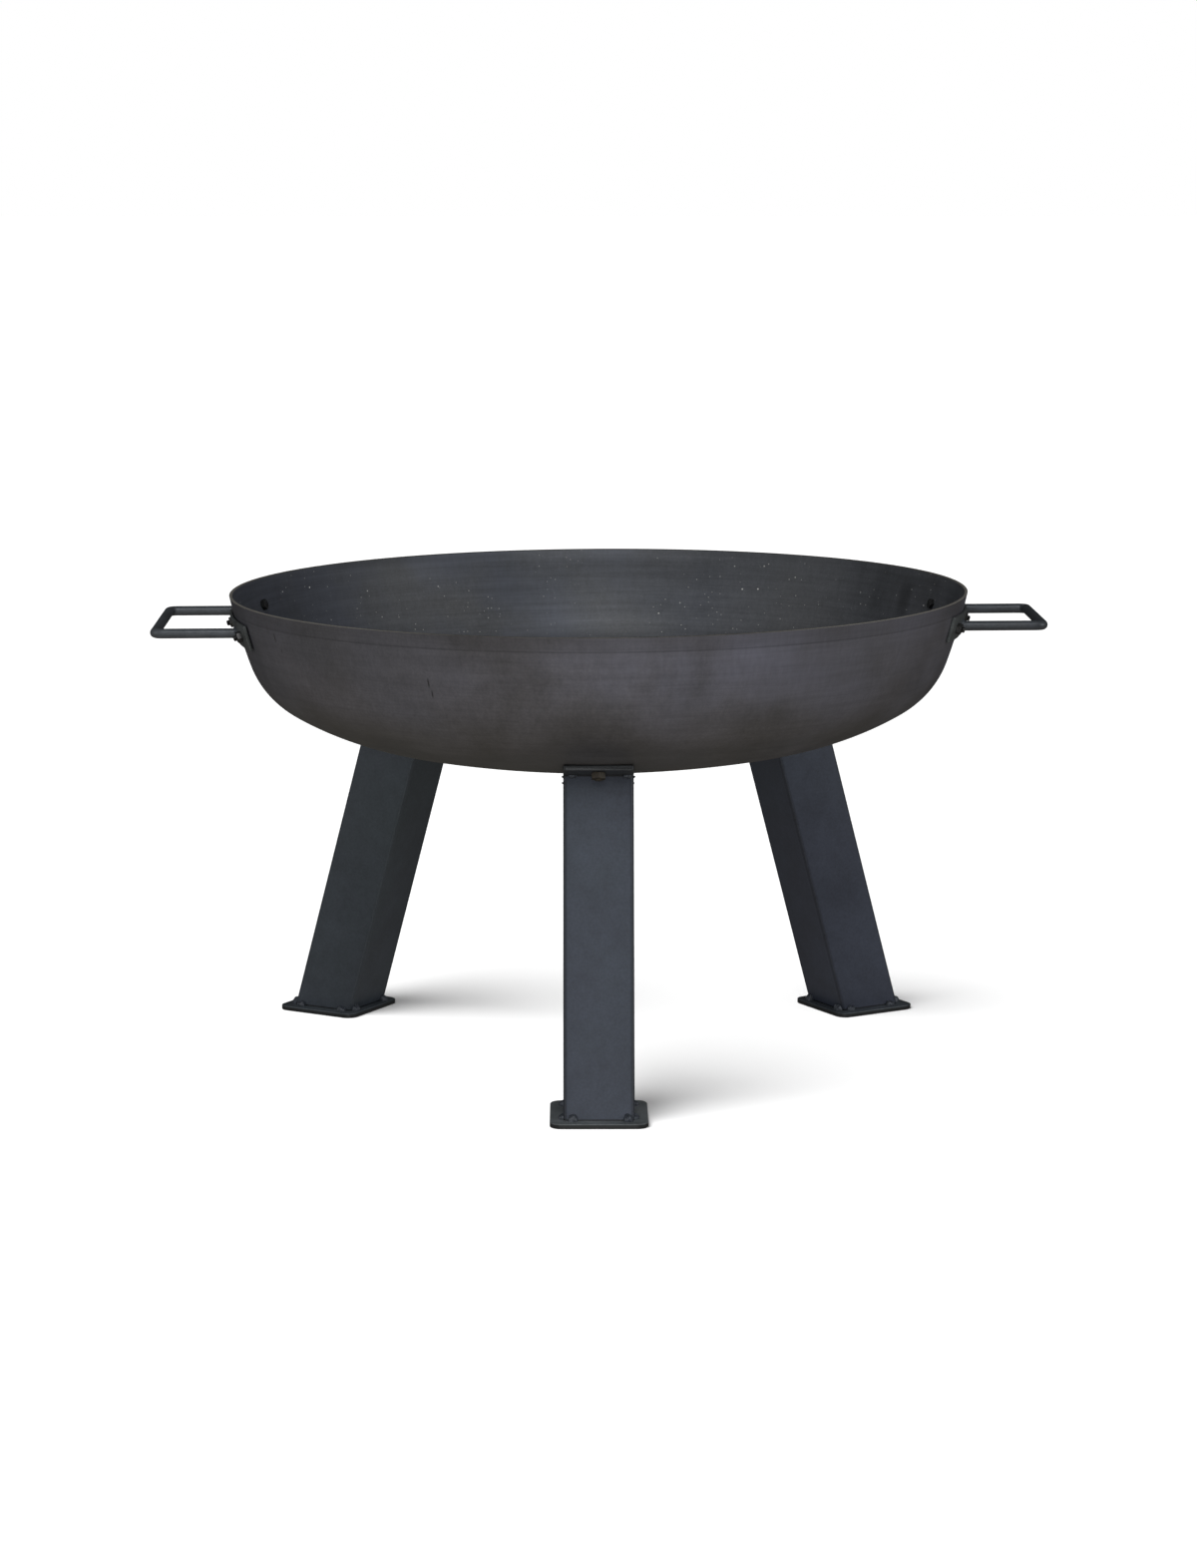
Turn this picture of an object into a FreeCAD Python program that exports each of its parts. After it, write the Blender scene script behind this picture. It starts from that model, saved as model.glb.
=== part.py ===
"""Fire bowl: a pressed steel bowl on three splayed square-tube legs, with two carrying handles.

Frame: +Z up, origin on the ground under the bowl's axis. The handles point along +X and -X,
and the front leg stands at -Y. Lengths are in millimetres and angles in degrees.
"""
import FreeCAD, Part
import math
import os
import Sketcher
from FreeCAD import Placement, Rotation, Vector

DRIVING_DIMENSIONS = [
    ("rim_radius", 375.0, "outer radius of the bowl at its rim"),
    ("rim_height", 471.0, "top of the rim above the ground"),
    ("sheet_wall", 3.0, "thickness of the bowl's sheet"),
    ("band_height", 14.5, "straight band under the rim, down to the faint ring line"),
    ("band_lean", 12.6, "lean of that band from the vertical"),
    ("wall_lean", 14.4, "lean of the wall just under the ring line"),
    ("wall_arc", 656.0, "radius of the slightly bulging wall"),
    ("knuckle_start", 354.7, "bowl radius where the knuckle begins"),
    ("knuckle_arc", 87.2, "radius of the knuckle"),
    ("haunch_start", 317.3, "bowl radius where the haunch begins"),
    ("haunch_arc", 294.0, "radius of the haunch"),
    ("crown_start", 228.9, "bowl radius where the shallow bottom begins"),
    ("leg_lean", 16.56, "lean of each leg from the vertical"),
    ("foot_radius", 320.6, "bowl axis to the middle of each foot plate"),
    ("tube_width", 68.0, "outside width of the square tube"),
    ("tube_wall", 3.0, "wall of the square tube"),
    ("tube_corner", 4.0, "outside corner radius of the tube"),
    ("foot_width", 94.0, "side of the square foot plate"),
    ("foot_corner", 11.0, "corner radius of the foot plate"),
    ("foot_edge", 0.8, "rounding of the foot plate's top edge"),
    ("plate_thickness", 5.0, "thickness of foot plates and top plates"),
    ("top_plate_length", 115.0, "length of the top plate, across the tube and past it"),
    ("top_plate_corner", 2.0, "corner radius of the top plate"),
    ("top_plate_gap", 0.3, "clearance where the flat plate comes nearest to the curved bowl"),
    ("leg_bolt_offset", 45.0, "middle of the top plate to each bolt"),
    ("leg_shank", 4.0, "radius of the M8 leg bolts"),
    ("leg_hole", 4.5, "radius of their holes"),
    ("leg_flats", 13.0, "width across flats of M8 heads and nuts"),
    ("leg_head_height", 5.3, "height of the M8 head"),
    ("leg_nut_height", 6.5, "height of the M8 nut"),
    ("bar_radius", 5.0, "radius of the handle's round bar"),
    ("bar_reach", 445.0, "bowl axis to the middle of the handle's outer bar"),
    ("bar_spread", 80.0, "middle of the handle to each side bar"),
    ("bar_bend", 8.0, "centre-line radius of the handle's bends"),
    ("bar_drop", 31.0, "rim down to the handle bar's middle"),
    ("strip_height", 26.0, "height of the handle's curved strip"),
    ("strip_thickness", 3.0, "thickness of that strip"),
    ("strip_half_angle", 20.0, "half of the angle that the strip spans"),
    ("strip_gap", 0.6, "clearance between strip and bowl"),
    ("strip_drop", 29.5, "rim down to the middle of strip and bolts"),
    ("handle_bolt_angle", 16.5, "angle between neighbouring handle bolts"),
    ("handle_shank", 3.0, "radius of the M6 handle bolts"),
    ("handle_hole", 3.5, "radius of their holes"),
    ("handle_flats", 10.0, "width across flats of M6 heads and nuts"),
    ("handle_head_height", 4.0, "height of the M6 head"),
    ("handle_nut_height", 5.0, "height of the M6 nut"),
    ("thread_end", 3.0, "thread standing out past each nut"),
    ("nut_play", 0.15, "radial clearance between thread and nut"),
    ("collar_leg", 3.0, "how far the handle's weld collars stand out from the bar"),
    ("tack_length", 11.0, "length of the legs' tack welds"),
    ("tack_radius", 4.5, "radius of the legs' tack welds"),
    ("tack_offset", 26.0, "middle of a tube face to each tack weld on it"),
]

HANDLES = {"right": 0.0, "left": 180.0}
LEGS = {"front": -90.0, "right": 30.0, "left": 150.0}
ARC_CELLS = [
    ("wall_arc", "knuckle_start"),
    ("knuckle_arc", "haunch_start"),
    ("haunch_arc", "crown_start"),
]
HOLE_REACH = 12.0       # how far a drill goes to each side of the sheet
BORE_RUNOUT = 1.0       # how far a nut's bore tool stands out of its block
GROUND_BLOCK = 1200.0   # side of the block that cuts the tubes level
TUBE_EXCESS = 1.1       # tube length before that cut, in terms of the leg's height
SKIN_REACH = 3.0        # half height of the strip's trimming cone, in strip heights
HEAD_SEAT = 0.1         # clearance under a bolt head
MOST_METAL = 0.2        # the hollowed bowl holds less than this share of its blank
SAME = 1e-6             # lengths closer than this are equal

doc = FreeCAD.newDocument("FireBowl")
sheet = doc.addObject("Spreadsheet::Sheet", "Dims")
sheet_row = 0
nodes = []


# ---------------------------------------------------------------- sheet, placements, sketches

def add_cell(alias, value, note):
    """Write one plain number into the sheet under its alias."""
    global sheet_row
    sheet_row += 1
    sheet.set("A%d" % sheet_row, note)
    sheet.set("B%d" % sheet_row, repr(round(value, 6)))
    sheet.setAlias("B%d" % sheet_row, alias)


def dim(alias):
    """Read a number back from the sheet."""
    return float(sheet.get(alias))


def bind(thing, **expressions):
    """Bind properties of an object to cells, named in each expression."""
    for name, expression in expressions.items():
        thing.setExpression(name, expression)


def station(azimuth, radius, height, polar):
    """A frame at a radius and height round the bowl's axis, its Z axis tipped outward by polar."""
    turn = Rotation(Vector(0, 0, 1), azimuth)
    place = turn.multVec(Vector(radius, 0, height))
    return Placement(place, turn * Rotation(Vector(0, 1, 0), polar))


def shifted(frame, x, y, z, rotation=None):
    """A frame moved, and then turned, in its own axes."""
    return frame * Placement(Vector(x, y, z), rotation or Rotation())


def keep(thing, node):
    """Name an object as one of the separate pieces that are written out."""
    thing.Label = node
    nodes.append(thing)
    return thing


def new_body(name):
    return doc.addObject("PartDesign::Body", name)


def new_sketch(body, role, name):
    """A sketch on one of the body's own origin planes."""
    plane = next(f for f in body.Origin.OriginFeatures if f.Role == role)
    sketch = body.newObject("Sketcher::SketchObject", name)
    sketch.AttachmentSupport = [(plane, "")]
    sketch.MapMode = "FlatFace"
    return sketch


def constrain(sketch, *arguments, cell=None, name=None):
    """Add a constraint, and bind it to a cell expression where one is given."""
    index = sketch.addConstraint(Sketcher.Constraint(*arguments))
    if cell:
        sketch.renameConstraint(index, name or cell.split(".")[-1])
        sketch.setExpression("Constraints." + (name or cell.split(".")[-1]), cell)
    return index


def centred_rectangle(sketch, half_x, half_y, cell_x, cell_y, prefix):
    """A rectangle about the sketch's origin. Its full sides are bound to two cells."""
    corners = [(-half_x, -half_y), (half_x, -half_y), (half_x, half_y), (-half_x, half_y)]
    first = sketch.GeometryCount
    for index in range(4):
        start = Vector(*corners[index], 0)
        end = Vector(*corners[(index + 1) % 4], 0)
        sketch.addGeometry(Part.LineSegment(start, end), False)
    for index in range(4):
        constrain(sketch, "Coincident", first + index, 2, first + (index + 1) % 4, 1)
    for index in (0, 2):
        constrain(sketch, "Horizontal", first + index)
        constrain(sketch, "Vertical", first + index + 1)
    constrain(sketch, "Symmetric", first, 1, first + 1, 2, -1, 1)
    constrain(sketch, "DistanceX", first, 1, first, 2, 2 * half_x,
              cell=cell_x, name=prefix + "_x")
    constrain(sketch, "DistanceY", first + 1, 1, first + 1, 2, 2 * half_y,
              cell=cell_y, name=prefix + "_y")


def upright_edges(shape, half_x, half_y):
    """Names of the edges that run along Z at the four corners of a rectangle."""
    names = []
    for number, edge in enumerate(shape.Edges, 1):
        ends = [vertex.Point for vertex in edge.Vertexes]
        upright = len(ends) == 2 and abs(ends[0].z - ends[1].z) > SAME
        at_corner = all(
            abs(abs(end.x) - half_x) < SAME and abs(abs(end.y) - half_y) < SAME for end in ends
        )
        if upright and at_corner:
            names.append("Edge%d" % number)
    return names


def edges_at_height(shape, height):
    """Names of the edges that lie in one level plane."""
    names = []
    for number, edge in enumerate(shape.Edges, 1):
        if all(abs(vertex.Point.z - height) < SAME for vertex in edge.Vertexes):
            names.append("Edge%d" % number)
    return names


def round_edges(body, feature, edge_names, cell, name):
    fillet = body.newObject("PartDesign::Fillet", name)
    fillet.Base = (feature, edge_names)
    bind(fillet, Radius=cell)
    doc.recompute()
    return fillet


# ---------------------------------------------------------------- shape of the bowl

def unit(lean):
    """Outward normal, in the radius-height plane, of a wall that leans from the vertical."""
    return Vector(math.cos(math.radians(lean)), -math.sin(math.radians(lean)), 0)


def next_arc(start, lean, radius, end_radius):
    """Centre, end point and end lean of an arc that goes down and inward to end_radius."""
    centre = start - unit(lean) * radius
    end_lean = math.degrees(math.acos((end_radius - centre.x) / radius))
    return centre, centre + unit(end_lean) * radius, end_lean


def bowl_outline():
    """The outside of the bowl as tangent arcs: centres, ends and leans, from the rim down."""
    rim = Vector(dim("rim_radius"), dim("rim_height"), 0)
    inset = dim("band_height") * math.tan(math.radians(dim("band_lean")))
    start = rim - Vector(inset, dim("band_height"), 0)
    lean = dim("wall_lean")
    arcs = []
    for arc, end in ARC_CELLS:
        centre, finish, end_lean = next_arc(start, lean, dim(arc), dim(end))
        arcs.append({"centre": centre, "radius": dim(arc), "leans": (lean, end_lean)})
        start, lean = finish, end_lean
    crown_radius = start.x / math.cos(math.radians(lean))
    centre = Vector(0, start.y + math.sqrt(crown_radius ** 2 - start.x ** 2), 0)
    arcs.append({"centre": centre, "radius": crown_radius, "leans": (lean, 90.0)})
    return rim, arcs


def first_crossing(point, direction, centre, radius):
    """Distance along a direction from a point outside a circle to the circle."""
    offset = point - centre
    along = offset.dot(direction)
    return -along - math.sqrt(along ** 2 - offset.dot(offset) + radius ** 2)


def inner_outline(rim, arcs):
    """The bowl's inside: the same centres and leans, one sheet thickness further in."""
    wall = dim("sheet_wall")
    inner_rim = rim - Vector(wall / math.cos(math.radians(dim("band_lean"))), 0, 0)
    inner_arcs = [dict(arc, radius=arc["radius"] - wall) for arc in arcs]
    return inner_rim, inner_arcs


def arc_end(arc, which):
    """The upper (0) or lower (1) end point of one of the outline's arcs."""
    return arc["centre"] + unit(arc["leans"][which]) * arc["radius"]


def draw_outline(sketch, rim, arcs, prefix, thinner):
    """Half a bowl section: top line, axis, rim band and tangent arcs, bound to the sheet."""
    wall_start = arc_end(arcs[0], 0)
    top_middle = Vector(0, rim.y, 0)
    bottom = arc_end(arcs[-1], 1)
    top_line, axis_line, band, first_arc = 0, 1, 2, 3
    sketch.addGeometry(Part.LineSegment(rim, top_middle), False)
    sketch.addGeometry(Part.LineSegment(top_middle, bottom), False)
    sketch.addGeometry(Part.LineSegment(rim, wall_start), False)
    for arc in arcs:
        low, high = (-math.radians(lean) for lean in reversed(arc["leans"]))
        circle = Part.Circle(arc["centre"], Vector(0, 0, 1), arc["radius"])
        sketch.addGeometry(Part.ArcOfCircle(circle, low, high), False)
    last_arc = first_arc + len(arcs) - 1
    spoke = sketch.addGeometry(Part.LineSegment(wall_start, arcs[0]["centre"]), True)

    constrain(sketch, "DistanceX", -1, 1, top_line, 1, rim.x, cell="Dims.%srim_radius" % prefix)
    constrain(sketch, "DistanceY", -1, 1, top_line, 1, rim.y, cell="Dims.rim_height")
    constrain(sketch, "Horizontal", top_line)
    constrain(sketch, "PointOnObject", top_line, 2, -2)
    constrain(sketch, "Coincident", axis_line, 1, top_line, 2)
    constrain(sketch, "PointOnObject", axis_line, 2, -2)
    constrain(sketch, "Coincident", band, 1, top_line, 1)
    constrain(sketch, "DistanceX", band, 2, band, 1, rim.x - wall_start.x,
              cell="Dims.%sband_inset" % prefix)
    constrain(sketch, "DistanceY", band, 2, band, 1, rim.y - wall_start.y,
              cell="Dims.%sband_height" % prefix)
    constrain(sketch, "Coincident", first_arc, 2, band, 2)
    constrain(sketch, "Coincident", spoke, 1, band, 2)
    constrain(sketch, "Coincident", spoke, 2, first_arc, 3)
    constrain(sketch, "Angle", spoke, math.radians(180 - arcs[0]["leans"][0]),
              cell="180 - Dims.wall_lean", name="wall_lean")
    for index, (radius_name, end_name) in enumerate(ARC_CELLS):
        arc = first_arc + index
        constrain(sketch, "Radius", arc, arcs[index]["radius"],
                  cell="Dims." + radius_name + thinner, name=radius_name)
        constrain(sketch, "DistanceX", -1, 1, arc, 1, arc_end(arcs[index], 1).x,
                  cell="Dims." + prefix + end_name, name=end_name)
        constrain(sketch, "Tangent", arc, 1, arc + 1, 2)
    constrain(sketch, "PointOnObject", last_arc, 3, -2)
    constrain(sketch, "Coincident", last_arc, 1, axis_line, 2)


def add_bowl(rim, arcs):
    """The bowl: a solid of revolution, hollowed by a groove one sheet thickness further in."""
    body = new_body("BowlBody")
    outside = new_sketch(body, "XZ_Plane", "BowlOutside")
    draw_outline(outside, rim, arcs, "", "")
    turned = body.newObject("PartDesign::Revolution", "BowlSolid")
    turned.Profile = outside
    turned.ReferenceAxis = (outside, ["V_Axis"])
    turned.Angle = 360
    doc.recompute()
    inside = new_sketch(body, "XZ_Plane", "BowlInside")
    draw_outline(inside, *inner_outline(rim, arcs), "inner_", " - Dims.sheet_wall")
    hollow = body.newObject("PartDesign::Groove", "BowlHollow")
    hollow.Profile = inside
    hollow.ReferenceAxis = (inside, ["V_Axis"])
    hollow.Angle = 360
    doc.recompute()
    if not hollow.Shape.Volume < MOST_METAL * turned.Shape.Volume:
        raise RuntimeError("the bowl was not hollowed")
    return body


# ---------------------------------------------------------------- fasteners, holes and welds

def add_cylinder(name, frame, radius_cell, low, high):
    """A cylinder along a frame's Z axis, from low to high in that frame."""
    cylinder = doc.addObject("Part::Cylinder", name)
    bind(cylinder, Radius=radius_cell)
    cylinder.Height = high - low
    cylinder.Placement = shifted(frame, 0, 0, low)
    return cylinder


def add_hexagon(name, frame, flats_cell, height_cell, low):
    hexagon = doc.addObject("Part::Prism", name)
    hexagon.Polygon = 6
    bind(hexagon, Circumradius=flats_cell + " / sqrt(3)", Height=height_cell)
    hexagon.Placement = shifted(frame, 0, 0, low)
    return hexagon


def add_pair(kind, name, base, tool):
    pair = doc.addObject(kind, name)
    pair.Base = base
    pair.Tool = tool
    return pair


def add_group(name, members):
    group = doc.addObject("Part::Compound", name)
    group.Links = members
    return group


def add_bolt(name, frame, size, seat, tip):
    """A hexagon bolt whose head bears at seat and whose thread ends at tip."""
    head = add_hexagon(name + "Head", frame, "Dims.%s_flats" % size, "Dims.%s_head_height" % size,
                       seat - dim(size + "_head_height"))
    shank = add_cylinder(name + "Shank", frame, "Dims.%s_shank" % size, seat - HEAD_SEAT, tip)
    return add_pair("Part::Fuse", name, head, shank)


def add_nut(name, frame, size, seat):
    """A hexagon nut that bears at seat, with a little play round the thread."""
    block = add_hexagon(name + "Block", frame, "Dims.%s_flats" % size,
                        "Dims.%s_nut_height" % size, seat)
    bore = add_cylinder(name + "Bore", frame, "Dims.%s_shank + Dims.nut_play" % size,
                        seat - BORE_RUNOUT, seat + dim(size + "_nut_height") + BORE_RUNOUT)
    return add_pair("Part::Cut", name, block, bore)


def add_tack(name, frame, angle_cell):
    """A tack weld: a sector of a rod, lying in the corner between a tube face and a plate."""
    tack = doc.addObject("Part::Cylinder", name)
    bind(tack, Radius="Dims.tack_radius", Height="Dims.tack_length", Angle=angle_cell)
    tack.Placement = frame
    return tack


# ---------------------------------------------------------------- handles

def handle_geometry(arcs):
    """Where the strip lies: the wall's point, and its lean, behind the middle of the strip."""
    wall = arcs[0]
    height = dim("rim_height") - dim("strip_drop")
    lean = math.degrees(math.asin((wall["centre"].y - height) / wall["radius"]))
    point = wall["centre"] + unit(lean) * wall["radius"]
    return point, lean


def add_handle_bar(side):
    """One round bar, bent twice into a U that lies level. It starts inside the strip."""
    body = new_body("HandleBarBody_" + side)
    path = new_sketch(body, "XY_Plane", "HandlePath_" + side)
    bind(path, **{"AttachmentOffset.Base.z": "Dims.rim_height - Dims.bar_drop"})
    start = dim("bar_start")
    reach = dim("bar_reach")
    spread = dim("bar_spread")
    bend = dim("bar_bend")
    straight = reach - bend
    inner = spread - bend
    near_end = Part.LineSegment(Vector(start, -spread, 0), Vector(straight, -spread, 0))
    path.addGeometry(near_end, False)
    corner = Part.Circle(Vector(straight, -inner, 0), Vector(0, 0, 1), bend)
    path.addGeometry(Part.ArcOfCircle(corner, -math.pi / 2, 0), False)
    path.addGeometry(Part.LineSegment(Vector(reach, -inner, 0), Vector(reach, inner, 0)), False)
    corner = Part.Circle(Vector(straight, inner, 0), Vector(0, 0, 1), bend)
    path.addGeometry(Part.ArcOfCircle(corner, 0, math.pi / 2), False)
    path.addGeometry(Part.LineSegment(Vector(straight, spread, 0), Vector(start, spread, 0)), False)
    for geometry, end, following, begin in ((0, 2, 1, 1), (1, 2, 2, 1), (2, 2, 3, 1), (3, 2, 4, 1)):
        constrain(path, "Tangent", geometry, end, following, begin)
    constrain(path, "Horizontal", 0)
    constrain(path, "Vertical", 2)
    constrain(path, "Horizontal", 4)
    constrain(path, "DistanceX", -1, 1, 0, 1, start, cell="Dims.bar_start")
    constrain(path, "DistanceX", -1, 1, 2, 1, reach, cell="Dims.bar_reach")
    constrain(path, "DistanceY", 0, 1, 4, 2, 2 * spread, cell="2 * Dims.bar_spread", name="spread")
    constrain(path, "Symmetric", 0, 1, 4, 2, -1)
    constrain(path, "Radius", 1, bend, cell="Dims.bar_bend")
    constrain(path, "Equal", 1, 3)

    section = new_sketch(body, "YZ_Plane", "HandleSection_" + side)
    bind(section, **{"AttachmentOffset.Base.z": "Dims.bar_start"})
    level = dim("rim_height") - dim("bar_drop")
    round_section = Part.Circle(Vector(-spread, level, 0), Vector(0, 0, 1), dim("bar_radius"))
    section.addGeometry(round_section, False)
    constrain(section, "Radius", 0, dim("bar_radius"), cell="Dims.bar_radius")
    constrain(section, "DistanceX", 0, 3, -1, 1, spread, cell="Dims.bar_spread")
    constrain(section, "DistanceY", -1, 1, 0, 3, level,
              cell="Dims.rim_height - Dims.bar_drop", name="level")

    pipe = body.newObject("PartDesign::AdditivePipe", "HandlePipe_" + side)
    pipe.Profile = section
    pipe.Spine = (path, ["Edge%d" % number for number in range(1, 6)])
    body.Placement = station(HANDLES[side], 0, 0, 0)
    doc.recompute()
    return body


def add_strip_body(side, point, lean):
    """The curved flat strip before it is drilled, turned about the bowl's axis."""
    body = new_body("StripBody_" + side)
    sketch = new_sketch(body, "XZ_Plane", "StripProfile_" + side)
    along = Vector(-unit(lean).y, unit(lean).x, 0)
    inner_face = point + unit(lean) * dim("strip_gap")
    outer_face = inner_face + unit(lean) * dim("strip_thickness")
    half = along * (dim("strip_height") / 2)
    corners = [inner_face - half, outer_face - half, outer_face + half, inner_face + half]
    for index in range(4):
        sketch.addGeometry(Part.LineSegment(corners[index], corners[(index + 1) % 4]), False)
    for index in range(4):
        constrain(sketch, "Coincident", index, 2, (index + 1) % 4, 1)
    constrain(sketch, "Perpendicular", 0, 1)
    constrain(sketch, "Perpendicular", 1, 2)
    constrain(sketch, "Perpendicular", 2, 3)
    constrain(sketch, "Distance", 0, dim("strip_thickness"), cell="Dims.strip_thickness")
    constrain(sketch, "Distance", 1, dim("strip_height"), cell="Dims.strip_height")
    constrain(sketch, "DistanceX", -1, 1, 0, 1, corners[0].x, cell="Dims.strip_foot_radius")
    constrain(sketch, "DistanceY", -1, 1, 0, 1, corners[0].y, cell="Dims.strip_foot_height")
    constrain(sketch, "Angle", 1, math.radians(90 - lean),
              cell="90 - Dims.strip_lean", name="strip_lean")

    turned = body.newObject("PartDesign::Revolution", "StripTurned_" + side)
    turned.Profile = sketch
    turned.ReferenceAxis = (sketch, ["V_Axis"])
    turned.Midplane = True
    bind(turned, Angle="2 * Dims.strip_half_angle")
    body.Placement = station(HANDLES[side], 0, 0, 0)
    doc.recompute()
    return body


def add_strip_skin(point, lean):
    """A cone whose side is the strips' outer face. It trims bar ends and weld collars."""
    outer_face = point + unit(lean) * (dim("strip_gap") + dim("strip_thickness"))
    reach = SKIN_REACH * dim("strip_height")
    slope = math.tan(math.radians(lean))
    cone = doc.addObject("Part::Cone", "StripSkin")
    cone.Radius1 = outer_face.x - reach * slope
    cone.Radius2 = outer_face.x + reach * slope
    cone.Height = 2 * reach
    cone.Placement = station(0, 0, outer_face.y - reach, 0)
    return cone


def add_weld_collar(name, azimuth, sign, raw_bar, skin):
    """A ring of weld where one end of the bar meets the strip."""
    level = dim("rim_height") - dim("bar_drop")
    tilt = math.tan(math.radians(dim("strip_lean")))
    skin_radius = skin.Radius1.Value + (level - skin.Placement.Base.z) * tilt
    meeting = math.sqrt(skin_radius ** 2 - dim("bar_spread") ** 2)
    depth = 2 * dim("collar_leg")
    collar = doc.addObject("Part::Cone", name + "Blank")
    bind(collar, Radius1="Dims.bar_radius + 2 * Dims.collar_leg", Radius2="Dims.bar_radius",
         Height="4 * Dims.collar_leg")   # a 1 : 2 cone whose thin half stands out of the strip
    handle_frame = station(azimuth, 0, level, 0)
    collar.Placement = shifted(handle_frame, meeting - depth, sign * dim("bar_spread"), 0,
                               Rotation(Vector(0, 1, 0), 90))
    trimmed = add_pair("Part::Cut", name + "Trimmed", collar, skin)
    return add_pair("Part::Cut", name, trimmed, raw_bar)


def add_handle(side, point, lean, skin, holes):
    """Bar, strip, welds, bolts and nuts of one handle."""
    azimuth = HANDLES[side]
    raw_bar = add_handle_bar(side)
    keep(add_pair("Part::Cut", "HandleBar_" + side, raw_bar, skin), "handle_%s_bar" % side)
    strip_body = add_strip_body(side, point, lean)
    angles = [azimuth + step * dim("handle_bolt_angle") for step in (-1, 0, 1)]
    frames = [station(angle, point.x, point.y, 90 + lean) for angle in angles]
    drills = []
    for number, frame in enumerate(frames, 1):
        drills.append(add_cylinder("HandleHole_%s%d" % (side, number), frame, "Dims.handle_hole",
                                   -HOLE_REACH, HOLE_REACH))
    drill_group = add_group("HandleHoles_" + side, drills)
    drilled_strip = add_pair("Part::Cut", "HandleStrip_" + side, strip_body, drill_group)
    keep(drilled_strip, "handle_%s_strip" % side)
    holes.append(drill_group)
    collars = [
        add_weld_collar("Collar_%s%d" % (side, number), azimuth, sign, raw_bar, skin)
        for number, sign in enumerate((-1, 1), 1)
    ]
    keep(add_group("HandleWelds_" + side, collars), "handle_%s_welds" % side)
    head_seat = -dim("sheet_wall") - HEAD_SEAT
    nut_seat = dim("strip_gap") + dim("strip_thickness")
    tip = nut_seat + dim("handle_nut_height") + dim("thread_end")
    bolts = [
        add_bolt("HandleBolt_%s%d" % (side, number), frame, "handle", head_seat, tip)
        for number, frame in enumerate(frames, 1)
    ]
    nuts = [
        add_nut("HandleNut_%s%d" % (side, number), frame, "handle", nut_seat)
        for number, frame in enumerate(frames, 1)
    ]
    keep(add_group("HandleBolts_" + side, bolts), "handle_%s_bolts" % side)
    keep(add_group("HandleNuts_" + side, nuts), "handle_%s_nuts" % side)


# ---------------------------------------------------------------- legs

def leg_top(arcs):
    """Where the tube's axis meets the top plate's upper face, as radius and height."""
    haunch = arcs[2]
    lean = math.radians(dim("leg_lean"))
    up_tube = Vector(-math.sin(lean), math.cos(lean), 0)
    nearest = haunch["centre"] - up_tube * (haunch["radius"] + dim("top_plate_gap"))
    foot = Vector(dim("foot_radius"), 0, 0)
    return foot + up_tube * (nearest - foot).dot(up_tube)


def add_tube(name, frame, length):
    """A square tube that hangs from the top plate's underside, cut level by the ground block."""
    body = new_body("TubeBody_" + name)
    sketch = new_sketch(body, "XY_Plane", "TubeSection_" + name)
    bind(sketch, **{"AttachmentOffset.Base.z": "-Dims.plate_thickness"})
    outer = dim("tube_width") / 2
    inner = outer - dim("tube_wall")
    centred_rectangle(sketch, outer, outer, "Dims.tube_width", "Dims.tube_width", "outer")
    centred_rectangle(sketch, inner, inner, "Dims.tube_width - 2 * Dims.tube_wall",
                      "Dims.tube_width - 2 * Dims.tube_wall", "inner")
    pad = body.newObject("PartDesign::Pad", "TubePad_" + name)
    pad.Profile = sketch
    pad.Reversed = True
    pad.Length = length
    doc.recompute()
    outer_round = round_edges(body, pad, upright_edges(pad.Shape, outer, outer),
                              "Dims.tube_corner", "TubeOutside_" + name)
    round_edges(body, outer_round, upright_edges(outer_round.Shape, inner, inner),
                "Dims.tube_corner - Dims.tube_wall", "TubeInside_" + name)
    body.Placement = frame
    return body


def add_top_plate(name, frame):
    """The flat plate on the tube's top end, drilled for its two bolts."""
    body = new_body("TopPlateBody_" + name)
    sketch = new_sketch(body, "XY_Plane", "TopPlateSection_" + name)
    half_length = dim("top_plate_length") / 2
    half_width = dim("tube_width") / 2
    centred_rectangle(sketch, half_length, half_width,
                      "Dims.top_plate_length", "Dims.tube_width", "plate")
    for number, sign in enumerate((-1, 1), 1):
        middle = Vector(sign * dim("leg_bolt_offset"), 0, 0)
        circle = sketch.addGeometry(Part.Circle(middle, Vector(0, 0, 1), dim("leg_hole")), False)
        constrain(sketch, "Radius", circle, dim("leg_hole"),
                  cell="Dims.leg_hole", name="hole%d" % number)
        constrain(sketch, "PointOnObject", circle, 3, -1)
        pair = (circle, 3, -1, 1) if sign < 0 else (-1, 1, circle, 3)
        constrain(sketch, "DistanceX", *pair, dim("leg_bolt_offset"),
                  cell="Dims.leg_bolt_offset", name="offset%d" % number)
    pad = body.newObject("PartDesign::Pad", "TopPlatePad_" + name)
    pad.Profile = sketch
    pad.Reversed = True
    bind(pad, Length="Dims.plate_thickness")
    doc.recompute()
    round_edges(body, pad, upright_edges(pad.Shape, half_length, half_width),
                "Dims.top_plate_corner", "TopPlateCorners_" + name)
    body.Placement = frame
    return body


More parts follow.
